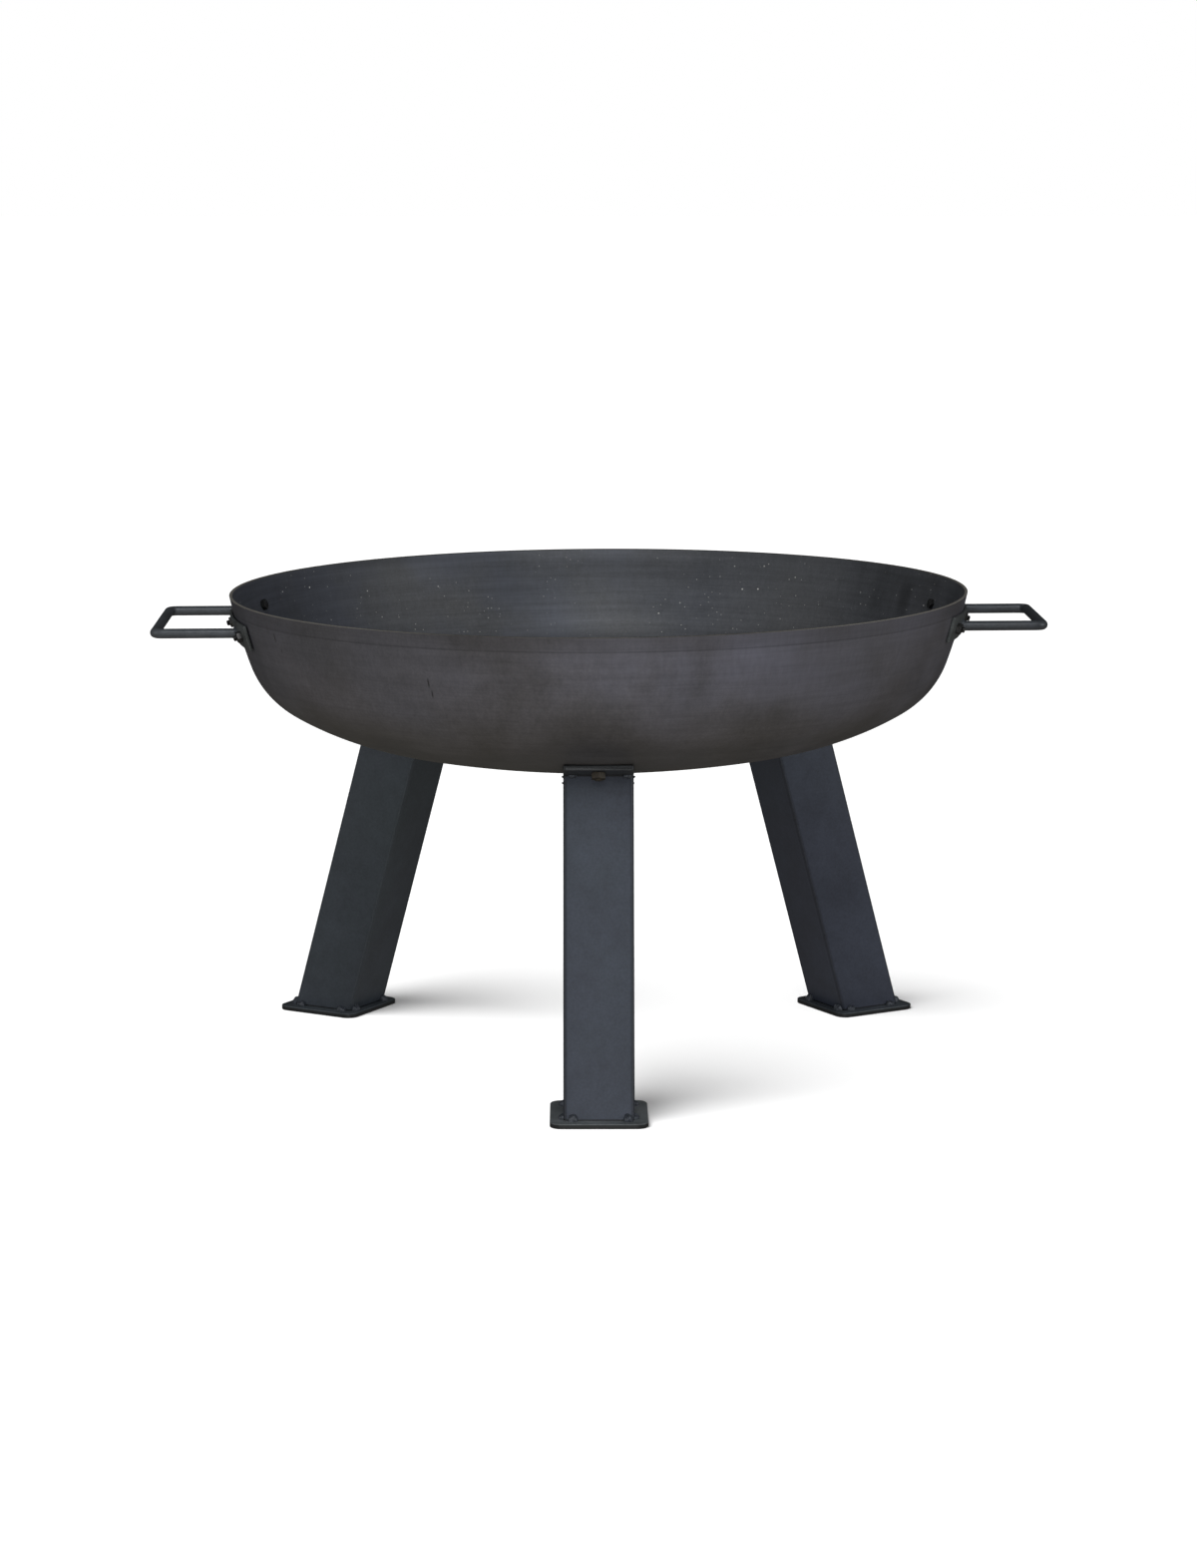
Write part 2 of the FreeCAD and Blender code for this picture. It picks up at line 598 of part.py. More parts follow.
def add_foot_plate(name, azimuth):
    """The square plate flat on the ground."""
    body = new_body("FootPlateBody_" + name)
    sketch = new_sketch(body, "XY_Plane", "FootPlateSection_" + name)
    half = dim("foot_width") / 2
    centred_rectangle(sketch, half, half, "Dims.foot_width", "Dims.foot_width", "foot")
    pad = body.newObject("PartDesign::Pad", "FootPlatePad_" + name)
    pad.Profile = sketch
    bind(pad, Length="Dims.plate_thickness")
    doc.recompute()
    cornered = round_edges(body, pad, upright_edges(pad.Shape, half, half),
                           "Dims.foot_corner", "FootPlateCorners_" + name)
    round_edges(body, cornered, edges_at_height(cornered.Shape, dim("plate_thickness")),
                "Dims.foot_edge", "FootPlateEdge_" + name)
    body.Placement = station(azimuth, dim("foot_radius"), 0, 0)
    return body


def add_top_tacks(name, frame):
    """Two tack welds on each tube face, in the corner under the top plate."""
    tacks = []
    for face in range(4):
        turned = shifted(frame, 0, 0, -dim("plate_thickness"), Rotation(Vector(0, 0, 1), 90 * face))
        for sign in (-1, 1):
            start = sign * dim("tack_offset") - dim("tack_length") / 2
            place = shifted(turned, dim("tube_width") / 2, start, 0, Rotation(Vector(1, 0, 0), -90))
            tacks.append(add_tack("TopTack_%s%d" % (name, len(tacks) + 1), place, "90"))
    return add_group("TopTacks_" + name, tacks)


def add_foot_tacks(name, azimuth):
    """Two tack welds on each tube face, in the corner above the foot plate."""
    lean = math.radians(dim("leg_lean"))
    centre = dim("foot_radius") - dim("plate_thickness") * math.tan(lean)
    frame = station(azimuth, centre, dim("plate_thickness"), 0)
    half = dim("tube_width") / 2
    tacks = []
    for face in range(4):
        turned = shifted(frame, 0, 0, 0, Rotation(Vector(0, 0, 1), 90 * face))
        facing = (1, 0, -1, 0)[face]
        distance = half / math.cos(lean) if facing else half
        for sign in (-1, 1):
            start = sign * dim("tack_offset") + dim("tack_length") / 2
            place = shifted(turned, distance, start, 0, Rotation(Vector(1, 0, 0), 90))
            tacks.append(add_tack("FootTack_%s%d" % (name, len(tacks) + 1), place,
                                  "90 + %d * Dims.leg_lean" % facing))
    return add_group("FootTacks_" + name, tacks)


def leg_bolt_seat(arcs, top, offset):
    """Height of a leg bolt's head seat above the top plate, inside the bowl."""
    lean = math.radians(dim("leg_lean"))
    up_tube = Vector(-math.sin(lean), math.cos(lean), 0)
    across = Vector(math.cos(lean), math.sin(lean), 0)
    start = top + across * offset
    arc = arcs[2] if start.x > dim("crown_start") else arcs[3]
    inside = first_crossing(start, up_tube, arc["centre"], arc["radius"] - dim("sheet_wall"))
    seat_point = start + up_tube * inside
    wall_slope = math.asin((seat_point.x - arc["centre"].x) / (arc["radius"] - dim("sheet_wall")))
    lift = dim("leg_flats") / math.sqrt(3) * math.tan(abs(lean - wall_slope))
    return inside + lift + HEAD_SEAT


def add_leg(name, arcs, top, ground, holes):
    """Tube, plates, welds, bolts and nuts of one leg."""
    azimuth = LEGS[name]
    frame = station(azimuth, top.x, top.y, -dim("leg_lean"))
    tube = add_tube(name, frame, TUBE_EXCESS * top.y)
    keep(add_pair("Part::Cut", "Tube_" + name, tube, ground), "leg_%s_tube" % name)
    keep(add_top_plate(name, frame), "leg_%s_top_plate" % name)
    keep(add_foot_plate(name, azimuth), "leg_%s_foot_plate" % name)
    keep(add_top_tacks(name, frame), "leg_%s_top_welds" % name)
    keep(add_foot_tacks(name, azimuth), "leg_%s_foot_welds" % name)
    bolts, nuts, drills = [], [], []
    for number, sign in enumerate((-1, 1), 1):
        offset = sign * dim("leg_bolt_offset")
        seat = leg_bolt_seat(arcs, top, offset)
        down = shifted(frame, offset, 0, 0, Rotation(Vector(1, 0, 0), 180))
        label = "%s%d" % (name, number)
        under_plate = dim("plate_thickness")
        tip = under_plate + dim("leg_nut_height") + dim("thread_end")
        bolts.append(add_bolt("LegBolt_" + label, down, "leg", -seat, tip))
        nuts.append(add_nut("LegNut_" + label, down, "leg", under_plate))
        drills.append(add_cylinder("LegHole_" + label, frame=shifted(frame, offset, 0, 0),
                                   radius_cell="Dims.leg_hole", low=0, high=2 * HOLE_REACH))
    keep(add_group("LegBolts_" + name, bolts), "leg_%s_bolts" % name)
    keep(add_group("LegNuts_" + name, nuts), "leg_%s_nuts" % name)
    holes.append(add_group("LegHoles_" + name, drills))


# ---------------------------------------------------------------- the whole object

def fill_sheet():
    """Driving dimensions first, then the ones worked out from them."""
    for alias, value, note in DRIVING_DIMENSIONS:
        add_cell(alias, value, note)
    doc.recompute()
    rim, arcs = bowl_outline()
    inner_rim, inner_arcs = inner_outline(rim, arcs)
    wall_start = arc_end(arcs[0], 0)
    inner_start = arc_end(inner_arcs[0], 0)
    add_cell("band_inset", rim.x - wall_start.x, "how far the rim band leans in")
    add_cell("inner_rim_radius", inner_rim.x, "inner radius at the rim")
    add_cell("inner_band_inset", inner_rim.x - inner_start.x, "the same on the inside")
    add_cell("inner_band_height", inner_rim.y - inner_start.y, "inner height of the rim band")
    for arc, (_, end_name) in zip(inner_arcs, ARC_CELLS):
        add_cell("inner_" + end_name, arc_end(arc, 1).x, "inner radius at the same change of arc")
    point, lean = handle_geometry(arcs)
    along = Vector(-unit(lean).y, unit(lean).x, 0)
    foot = point + unit(lean) * dim("strip_gap") - along * (dim("strip_height") / 2)
    add_cell("strip_lean", lean, "lean of the wall behind the strips")
    add_cell("strip_foot_radius", foot.x, "bowl axis to the strip's lower inner corner")
    add_cell("strip_foot_height", foot.y, "height of that corner")
    wall_behind_bar = math.sqrt(point.x ** 2 - dim("bar_spread") ** 2)
    add_cell("bar_start", wall_behind_bar - 2 * dim("collar_leg"),
             "bowl axis to the bar's untrimmed ends")
    doc.recompute()
    return rim, arcs, point, lean


def build():
    rim, arcs, point, lean = fill_sheet()
    bowl_body = add_bowl(rim, arcs)
    holes = []
    skin = add_strip_skin(point, lean)
    for side in HANDLES:
        add_handle(side, point, lean, skin, holes)
    ground = doc.addObject("Part::Box", "GroundBlock")
    ground.Length = GROUND_BLOCK
    ground.Width = GROUND_BLOCK
    ground.Height = GROUND_BLOCK
    ground.Placement = Placement(
        Vector(-GROUND_BLOCK / 2, -GROUND_BLOCK / 2, dim("plate_thickness") - GROUND_BLOCK), Rotation()
    )
    top = leg_top(arcs)
    for name in LEGS:
        add_leg(name, arcs, top, ground, holes)
    keep(add_pair("Part::Cut", "Bowl", bowl_body, add_group("BowlHoles", holes)), "fire_bowl")
    doc.recompute()


def check_and_write():
    """Stop on any failed object, then write each piece's shape."""
    for thing in doc.Objects:
        if "Invalid" in thing.State or "Error" in thing.State:
            raise RuntimeError("%s is in state %s" % (thing.Name, thing.State))
    for node in nodes:
        if node.Shape.isNull() or not node.Shape.isValid():
            raise RuntimeError("%s has no valid shape" % node.Label)
    os.makedirs("parts", exist_ok=True)
    for node in nodes:
        node.Shape.exportStep("parts/%s.step" % node.Label)
        solids = len(node.Shape.Solids)
        print("%-24s solids %2d  volume %9.1f mm3" % (node.Label, solids, node.Shape.Volume))


build()
check_and_write()
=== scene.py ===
"""Fire bowl: the look of every piece, and the studio that shows it.

Shapes are drawn in millimetres and scaled to metres as each piece is made. The frame is the
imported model's: +Z up, origin on the ground under the bowl's axis, front leg at -Y.
"""
import math
import random

import bmesh
import bpy
from mathutils import Matrix, Vector, noise


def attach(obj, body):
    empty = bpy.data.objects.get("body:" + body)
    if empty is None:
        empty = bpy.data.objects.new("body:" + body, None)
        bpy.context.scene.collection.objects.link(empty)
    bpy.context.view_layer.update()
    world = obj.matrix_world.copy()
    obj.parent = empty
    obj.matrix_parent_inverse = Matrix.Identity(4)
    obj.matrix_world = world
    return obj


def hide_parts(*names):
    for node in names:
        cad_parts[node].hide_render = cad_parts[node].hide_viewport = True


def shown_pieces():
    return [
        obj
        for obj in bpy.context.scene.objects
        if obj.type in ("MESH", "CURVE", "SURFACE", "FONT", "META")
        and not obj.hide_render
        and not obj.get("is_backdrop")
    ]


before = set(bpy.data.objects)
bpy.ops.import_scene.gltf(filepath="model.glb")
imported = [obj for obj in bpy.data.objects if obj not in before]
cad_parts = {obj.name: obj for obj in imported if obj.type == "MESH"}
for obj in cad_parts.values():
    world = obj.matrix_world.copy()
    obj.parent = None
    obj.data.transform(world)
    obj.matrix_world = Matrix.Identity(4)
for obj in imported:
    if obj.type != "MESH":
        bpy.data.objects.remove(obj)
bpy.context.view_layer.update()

MM = 0.001
random.seed(11)

# ---------------------------------------------------------------- sizes, millimetres and degrees

RIM_RADIUS = 375.0
RIM_HEIGHT = 471.0
SHEET_WALL = 3.0
BAND_HEIGHT = 14.5
BAND_LEAN = 12.6
WALL_LEAN = 14.4
BOWL_ARCS = ((656.0, 354.7), (87.2, 317.3), (294.0, 228.9))   # radius, bowl radius where it ends
RIM_ROUNDING = 0.8
RIM_STEPS = 4
BOWL_SEGMENTS = 360
BOWL_WOBBLE = 0.5      # unevenness of the sheet, which grows towards the rim
WOBBLE_WAVES = 1.7     # how fast it changes round the bowl
WOBBLE_HEIGHT = 260.0  # and down its wall
UPWARD = 0.02          # least rise of a face's normal that looks up into the bowl

LEGS = {"front": -90.0, "right": 30.0, "left": 150.0}
LEG_LEAN = 16.56
FOOT_RADIUS = 320.6
TUBE_WIDTH = 68.0
TUBE_CORNER = 4.0
PLATE = 5.0
FOOT_WIDTH = 94.0
FOOT_CORNER = 11.0
FOOT_EDGE = 0.9
TOP_PLATE_LENGTH = 115.0
TOP_PLATE_CORNER = 2.0
TOP_PLATE_EDGE = 0.6
TOP_PLATE_GAP = 0.3
OVERHANG_RISE = 1.8    # the outer overhang's end is pulled up towards the bowl by its bolt
JOINT_SHADE = 1.0      # height of the dark line where a tube meets its plate
LEG_BOLT_OFFSET = 45.0
TACK_OFFSET = 26.0
TACK_LENGTH = 11.0
TOP_TACK_RADIUS = 3.2        # on the tube's inner and outer faces
TOP_SIDE_TACK_RADIUS = 1.5   # and on the other two
FOOT_TACK_RADIUS = 6.5
FOOT_SIDE_TACK_RADIUS = 4.5

HANDLES = {"right": 0.0, "left": 180.0}
BAR_RADIUS = 5.0
BAR_REACH = 445.0
BAR_BEND = 8.0
BAR_SINK = 0.5         # how far its ends go into the strip, in terms of the strip's thickness
BEND_STEPS = 8
BAR_SPREAD = 80.0
BAR_DROP = 31.0
STRIP_HEIGHT = 26.0
STRIP_THICKNESS = 3.0
STRIP_HALF_ANGLE = 20.0
STRIP_GAP = 0.6
STRIP_DROP = 29.5
STRIP_EDGE = 0.5
HANDLE_BOLT_ANGLE = 16.5
COLLAR_LEG = 3.0
COLLAR_SHARE = 0.8     # how much of that leg the lumpy weld fills
COLLAR_LUMP = 0.3
COLLAR_PROFILE = ((0, 0), (1, 0), (0.62, 0.3), (0.3, 0.62), (0, 1))

M6 = {"shank": 3.0, "flats": 10.0, "head": 4.0, "nut": 5.0, "pitch": 1.0, "end": 3.0}
M8 = {"shank": 4.0, "flats": 13.0, "head": 5.3, "nut": 6.5, "pitch": 1.25, "end": 1.2}
HEAD_SEAT = 0.1
NUT_PLAY = 0.15
CHAMFER_REACH = 0.475      # radii on a head or nut, in terms of its width across flats
DISH_REACH = (0.3, 0.38)
SEAT_REACH = 0.45
DISH_DEPTH = 0.25
CHAMFER_SLOPE = 30.0
COUNTERSINK = 0.5
THREAD_DEPTH = 0.5         # in terms of the pitch
TIP_CHAMFER = 0.8

BEAD_STEPS = 14
BEAD_ARC_STEPS = 8
BEAD_END = 0.12            # how thick a weld bead's ends are, and how lumpy it is
BEAD_LUMP = 0.28
BEAD_RIPPLE = 0.05

BOWL_TILT = -0.31      # the bowl sits a little out of level, its right side higher
BOWL_SHIFT = 2.3       # and its middle lies to the right of the legs' middle
HANDLE_TURN = 0.4      # how far the handles and the legs sit out of line with it
HANDLE_TWIST = -1.0    # about the handle's own outward axis, at its strip
LEG_TURN = 0.3
LEG_DROPS = {"front": 0.3, "right": 0.0, "left": 0.7}   # keeps the top plates off the tilted bowl

# ---------------------------------------------------------------- mesh tools


def station(azimuth, radius, height, polar):
    """A frame at a radius and height round the bowl's axis, its Z axis tipped outward by polar."""
    turn = Matrix.Rotation(math.radians(azimuth), 4, "Z")
    tip = Matrix.Rotation(math.radians(polar), 4, "Y")
    return turn @ Matrix.Translation((radius, 0, height)) @ tip


def shifted(place, x, y, z, angle=0.0, axis="Z"):
    """A frame moved, and then turned, in its own axes."""
    turn = Matrix.Rotation(math.radians(angle), 4, axis)
    return place @ Matrix.Translation((x, y, z)) @ turn


def skin(rings, closed=False):
    """Quads through equal rings. The ends are capped, or the last ring joins the first."""
    size = len(rings[0])
    vertices = [point for ring in rings for point in ring]
    spans = len(rings) if closed else len(rings) - 1
    faces = []
    for span in range(spans):
        here = span * size
        there = ((span + 1) % len(rings)) * size
        for step in range(size):
            after = (step + 1) % size
            faces.append((here + step, here + after, there + after, there + step))
    if not closed:
        faces.append(tuple(reversed(range(size))))
        faces.append(tuple(range(len(vertices) - size, len(vertices))))
    return vertices, faces


def moved(part, place):
    vertices, faces = part
    return [place @ Vector(vertex) for vertex in vertices], faces


def joined(parts):
    vertices, faces = [], []
    for part_vertices, part_faces in parts:
        first = len(vertices)
        vertices.extend(part_vertices)
        faces.extend(tuple(first + index for index in face) for face in part_faces)
    return vertices, faces


def add_piece(node, part, place, materials, sharp_angle=35.0):
    """One shown piece in place of one CAD node."""
    vertices, faces = part
    mesh = bpy.data.meshes.new("look_" + node)
    mesh.from_pydata([Vector(vertex) * MM for vertex in vertices], [], faces)
    edit = bmesh.new()
    edit.from_mesh(mesh)
    bmesh.ops.remove_doubles(edit, verts=edit.verts, dist=0.001 * MM)
    bmesh.ops.recalc_face_normals(edit, faces=edit.faces)
    edit.to_mesh(mesh)
    edit.free()
    mesh.polygons.foreach_set("use_smooth", [True] * len(mesh.polygons))
    mesh.set_sharp_from_angle(angle=math.radians(sharp_angle))
    for material in materials:
        mesh.materials.append(material)
    piece = bpy.data.objects.new("look_" + node, mesh)
    bpy.context.scene.collection.objects.link(piece)
    in_metres = place.copy()
    in_metres.translation = place.translation * MM
    piece.matrix_world = in_metres
    bpy.context.view_layer.update()
    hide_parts(node)
    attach(piece, "root")
    return piece


def circle(radius, height, count):
    turns = [2 * math.pi * step / count for step in range(count)]
    return [(radius * math.cos(turn), radius * math.sin(turn), height) for turn in turns]


def rounded_rectangle(half_x, half_y, corner, height, steps=6):
    """A rectangle with round corners, counterclockwise, at one height."""
    points = []
    for quarter, (sign_x, sign_y) in enumerate(((1, 1), (-1, 1), (-1, -1), (1, -1))):
        for step in range(steps + 1):
            turn = math.pi / 2 * (quarter + step / steps)
            x = sign_x * (half_x - corner) + corner * math.cos(turn)
            y = sign_y * (half_y - corner) + corner * math.sin(turn)
            points.append((x, y, height))
    return points


def rounded_slab(half_x, half_y, low, high, corner, edge, steps=4):
    """A plate with round corners and rounded edges."""
    rings = []
    for side, level in ((-1, low), (1, high)):
        turns = [math.pi / 2 * step / steps for step in range(steps + 1)]
        for turn in turns if side > 0 else reversed(turns):
            inset = edge * (1 - math.cos(turn))
            height = level - side * edge * (1 - math.sin(turn))
            rings.append(rounded_rectangle(half_x - inset, half_y - inset, corner - inset, height))
    return skin(rings)


# ---------------------------------------------------------------- the bowl's outline


def unit(lean):
    """Outward normal, in the radius-height plane, of a wall that leans from the vertical."""
    return Vector((math.cos(math.radians(lean)), -math.sin(math.radians(lean))))


def outline_arcs():
    """Centre, radius and leans of the outside's tangent arcs, from the ring line down."""
    inset = BAND_HEIGHT * math.tan(math.radians(BAND_LEAN))
    start = Vector((RIM_RADIUS - inset, RIM_HEIGHT - BAND_HEIGHT))
    lean = WALL_LEAN
    arcs = []
    for radius, end_radius in BOWL_ARCS:
        centre = start - unit(lean) * radius
        end_lean = math.degrees(math.acos((end_radius - centre.x) / radius))
        arcs.append((centre, radius, lean, end_lean))
        start = centre + unit(end_lean) * radius
        lean = end_lean
    crown = start.x / math.cos(math.radians(lean))
    centre = Vector((0, start.y + math.sqrt(crown ** 2 - start.x ** 2)))
    arcs.append((centre, crown, lean, 90.0))
    return arcs


ARCS = outline_arcs()


def arc_points(arc, thinner, step_length=4.0):
    """Points down one arc of the outline, on a surface that lies further in."""
    centre, radius, first, last = arc
    count = max(4, int(math.radians(last - first) * radius / step_length))
    leans = [first + (last - first) * step / count for step in range(count + 1)]
    return [centre + unit(lean) * (radius - thinner) for lean in leans]


def wall_under_strip():
    """The outside's point, and its lean, behind the middle of the handles' strips."""
    centre, radius, _, _ = ARCS[0]
    lean = math.degrees(math.asin((centre.y - (RIM_HEIGHT - STRIP_DROP)) / radius))
    return centre + unit(lean) * radius, lean


WALL_POINT, STRIP_LEAN = wall_under_strip()


def leg_top():
    """Where the tube's axis meets the top plate's upper face, as radius and height."""
    lean = math.radians(LEG_LEAN)
    up_tube = Vector((-math.sin(lean), math.cos(lean)))
    centre, radius, _, _ = ARCS[2]
    nearest = centre - up_tube * (radius + TOP_PLATE_GAP)
    foot = Vector((FOOT_RADIUS, 0))
    return foot + up_tube * (nearest - foot).dot(up_tube)


LEG_TOP = leg_top()
BOWL_BOTTOM = ARCS[-1][0].y - ARCS[-1][1]
BOWL_PLACE = (Matrix.Translation((BOWL_SHIFT, 0, BOWL_BOTTOM))
              @ Matrix.Rotation(math.radians(BOWL_TILT), 4, "Y")
              @ Matrix.Translation((0, 0, -BOWL_BOTTOM)))

# ---------------------------------------------------------------- material tools


def new_material(name):
    """A material with one Principled shader, returned with its tree."""
    material = bpy.data.materials.new(name)
    material.use_nodes = True
    tree = material.node_tree
    tree.nodes.clear()
    output = tree.nodes.new("ShaderNodeOutputMaterial")
    surface = tree.nodes.new("ShaderNodeBsdfPrincipled")
    tree.links.new(surface.outputs["BSDF"], output.inputs["Surface"])
    return material, tree, surface


def feed(tree, socket, value):
    """Link a socket to another, or set it to a plain value."""
    if isinstance(value, bpy.types.NodeSocket):
        tree.links.new(value, socket)
    else:
        socket.default_value = value


def coordinates(tree, stretch=(1, 1, 1), lean=0.0):
    """Object coordinates, stretched along the axes, then turned about Y by an angle in degrees."""
    source = tree.nodes.new("ShaderNodeTexCoord")
    mapping = tree.nodes.new("ShaderNodeMapping")
    mapping.inputs["Scale"].default_value = stretch
    mapping.inputs["Rotation"].default_value = (0, math.radians(lean), 0)
    tree.links.new(source.outputs["Object"], mapping.inputs["Vector"])
    return mapping.outputs["Vector"]


def split_axes(tree, lean=0.0):
    """The three object coordinates as separate values."""
    split = tree.nodes.new("ShaderNodeSeparateXYZ")
    tree.links.new(coordinates(tree, lean=lean), split.inputs["Vector"])
    return split.outputs["X"], split.outputs["Y"], split.outputs["Z"]


def noise_field(tree, scale, detail=3.0, stretch=(1, 1, 1), roughness=0.55, distortion=0.0):
    """Cloudy noise from 0 to 1. The scale is in features per metre."""
    field = tree.nodes.new("ShaderNodeTexNoise")
    field.inputs["Scale"].default_value = scale
    field.inputs["Detail"].default_value = detail
    field.inputs["Roughness"].default_value = roughness
    field.inputs["Distortion"].default_value = distortion
    tree.links.new(coordinates(tree, stretch), field.inputs["Vector"])
    return field.outputs["Fac"]


def speck_field(tree, scale, size):
    """Small separate spots: 1 in the middle of a few cells and 0 elsewhere."""
    cells = tree.nodes.new("ShaderNodeTexVoronoi")
    cells.inputs["Scale"].default_value = scale
    tree.links.new(coordinates(tree), cells.inputs["Vector"])
    near = remap(tree, cells.outputs["Distance"], size, 0.3 * size)
    split = tree.nodes.new("ShaderNodeSeparateColor")
    tree.links.new(cells.outputs["Color"], split.inputs["Color"])
    few = remap(tree, split.outputs["Red"], 0.72, 0.9)
    return combine(tree, "MULTIPLY", near, few)


def remap(tree, value, start, end, low=0.0, high=1.0):
    """Map start..end to low..high, with no overshoot."""
    node = tree.nodes.new("ShaderNodeMapRange")
    feed(tree, node.inputs["Value"], value)
    node.inputs["From Min"].default_value = start
    node.inputs["From Max"].default_value = end
    node.inputs["To Min"].default_value = low
    node.inputs["To Max"].default_value = high
    return node.outputs["Result"]


def combine(tree, operation, first, second):
    node = tree.nodes.new("ShaderNodeMath")
    node.operation = operation
    feed(tree, node.inputs[0], first)
    feed(tree, node.inputs[1], second)
    return node.outputs["Value"]


def blend_color(tree, factor, first, second):
    """Mix two colours, each a tuple or a socket."""
    node = tree.nodes.new("ShaderNodeMix")
    node.data_type = "RGBA"
    feed(tree, node.inputs["Factor"], factor)
    for socket, value in ((node.inputs["A"], first), (node.inputs["B"], second)):
        feed(tree, socket, value if isinstance(value, bpy.types.NodeSocket) else (*value, 1.0))
    return node.outputs["Result"]


def darken(tree, color, value):
    """Multiply a colour by another, or by a factor that varies over the surface."""
    node = tree.nodes.new("ShaderNodeMix")
    node.data_type = "RGBA"
    node.blend_type = "MULTIPLY"
    node.inputs["Factor"].default_value = 1.0
    feed(tree, node.inputs["A"], color)
    feed(tree, node.inputs["B"], value)
    return node.outputs["Result"]


def shade(tree, color, value, start, end, low, high):
    """Multiply a colour by a factor that goes from low to high as a value goes from start to end."""
    return darken(tree, color, remap(tree, value, start, end, low, high))


def add_bump(tree, surface, height, distance):
    """Relief of a given depth in metres."""
    node = tree.nodes.new("ShaderNodeBump")
    node.inputs["Distance"].default_value = distance
    node.inputs["Strength"].default_value = 1.0
    feed(tree, node.inputs["Height"], height)
    tree.links.new(node.outputs["Normal"], surface.inputs["Normal"])


def worn_steel(name, dark, light, tint, metallic, roughness, patch=14.0):
    """Mill scale: broad patches of two tones, a faint tint, fine grain and uneven gloss."""
    material, tree, surface = new_material(name)
    patches = noise_field(tree, patch, detail=4.0, roughness=0.6, distortion=0.4)
    color = blend_color(tree, remap(tree, patches, 0.35, 0.68), dark, light)
    hue = noise_field(tree, 0.45 * patch, detail=2.0)
    color = blend_color(tree, remap(tree, hue, 0.45, 0.7, 0.0, 0.5), color, tint)
    mottle = noise_field(tree, 75.0, detail=5.0, roughness=0.7)
    color = shade(tree, color, mottle, 0.3, 0.7, 0.91, 1.09)
    fine = noise_field(tree, 420.0, detail=3.0)
    color = shade(tree, color, fine, 0.25, 0.75, 0.86, 1.12)
    tree.links.new(color, surface.inputs["Base Color"])
    surface.inputs["Metallic"].default_value = metallic
    gloss = remap(tree, patches, 0.3, 0.7, roughness - 0.05, roughness + 0.07)
    tree.links.new(gloss, surface.inputs["Roughness"])
    add_bump(tree, surface, fine, 0.00006)
    return material, tree, surface, color


# ---------------------------------------------------------------- materials

# Azimuth from the front in radians and height in metres, then the half width and half height.
BOWL_NICKS = (
    ((-1.02, 0.4485), (0.0045, 0.0055)),
    ((-1.0, 0.436), (0.003, 0.003)),
    ((-0.459, 0.422), (0.0035, 0.006)),
    ((-0.453, 0.411), (0.003, 0.005)),
)
INSIDE_STAIN = ((2.04, 0.44), (0.045, 0.028))
# Painted sheens, paler patches where the front lamps light the bowl most: distance to the right and
# height in metres, then the half width and half height.
INSIDE_PAINTED_SHEEN = ((0.07, 0.407), (0.24, 0.04))
OUTSIDE_PAINTED_SHEEN = ((0.03, 0.436), (0.2, 0.042))


def round_the_bowl(tree):
    """Azimuth from the front, in radians and rising to the right, then the distance to the
    right of the axis, and the height, in metres."""
    right, back, height = split_axes(tree)
    azimuth = combine(tree, "ARCTAN2", right, combine(tree, "MULTIPLY", back, -1.0))
    return azimuth, right, height


def mark(tree, across, along, middle, half_size):
    """1 inside a small soft-edged patch at the middle of two measures, and 0 outside."""
    sides = []
    for value, centre, reach in zip((across, along), middle, half_size):
        distance = combine(tree, "ABSOLUTE", combine(tree, "SUBTRACT", value, centre), 0.0)
        sides.append(remap(tree, distance, reach, 0.3 * reach))
    return combine(tree, "MULTIPLY", *sides)


def streak(tree, color, scale, low, high):
    """Brush lines that run level round the bowl."""
    lines = noise_field(tree, scale, detail=4.0, stretch=(0.12, 0.12, 4.0), roughness=0.65)
    return shade(tree, color, lines, 0.3, 0.7, low, high)


def weave(tree, color):
    """Fainter rolling lines that run up and down the wall, across the brush lines."""
    lines = noise_field(tree, 260.0, detail=3.0, stretch=(1, 1, 0.09), roughness=0.6)
    color = shade(tree, color, lines, 0.3, 0.7, 0.93, 1.07)
    return streak(tree, color, 150.0, 0.93, 1.07)


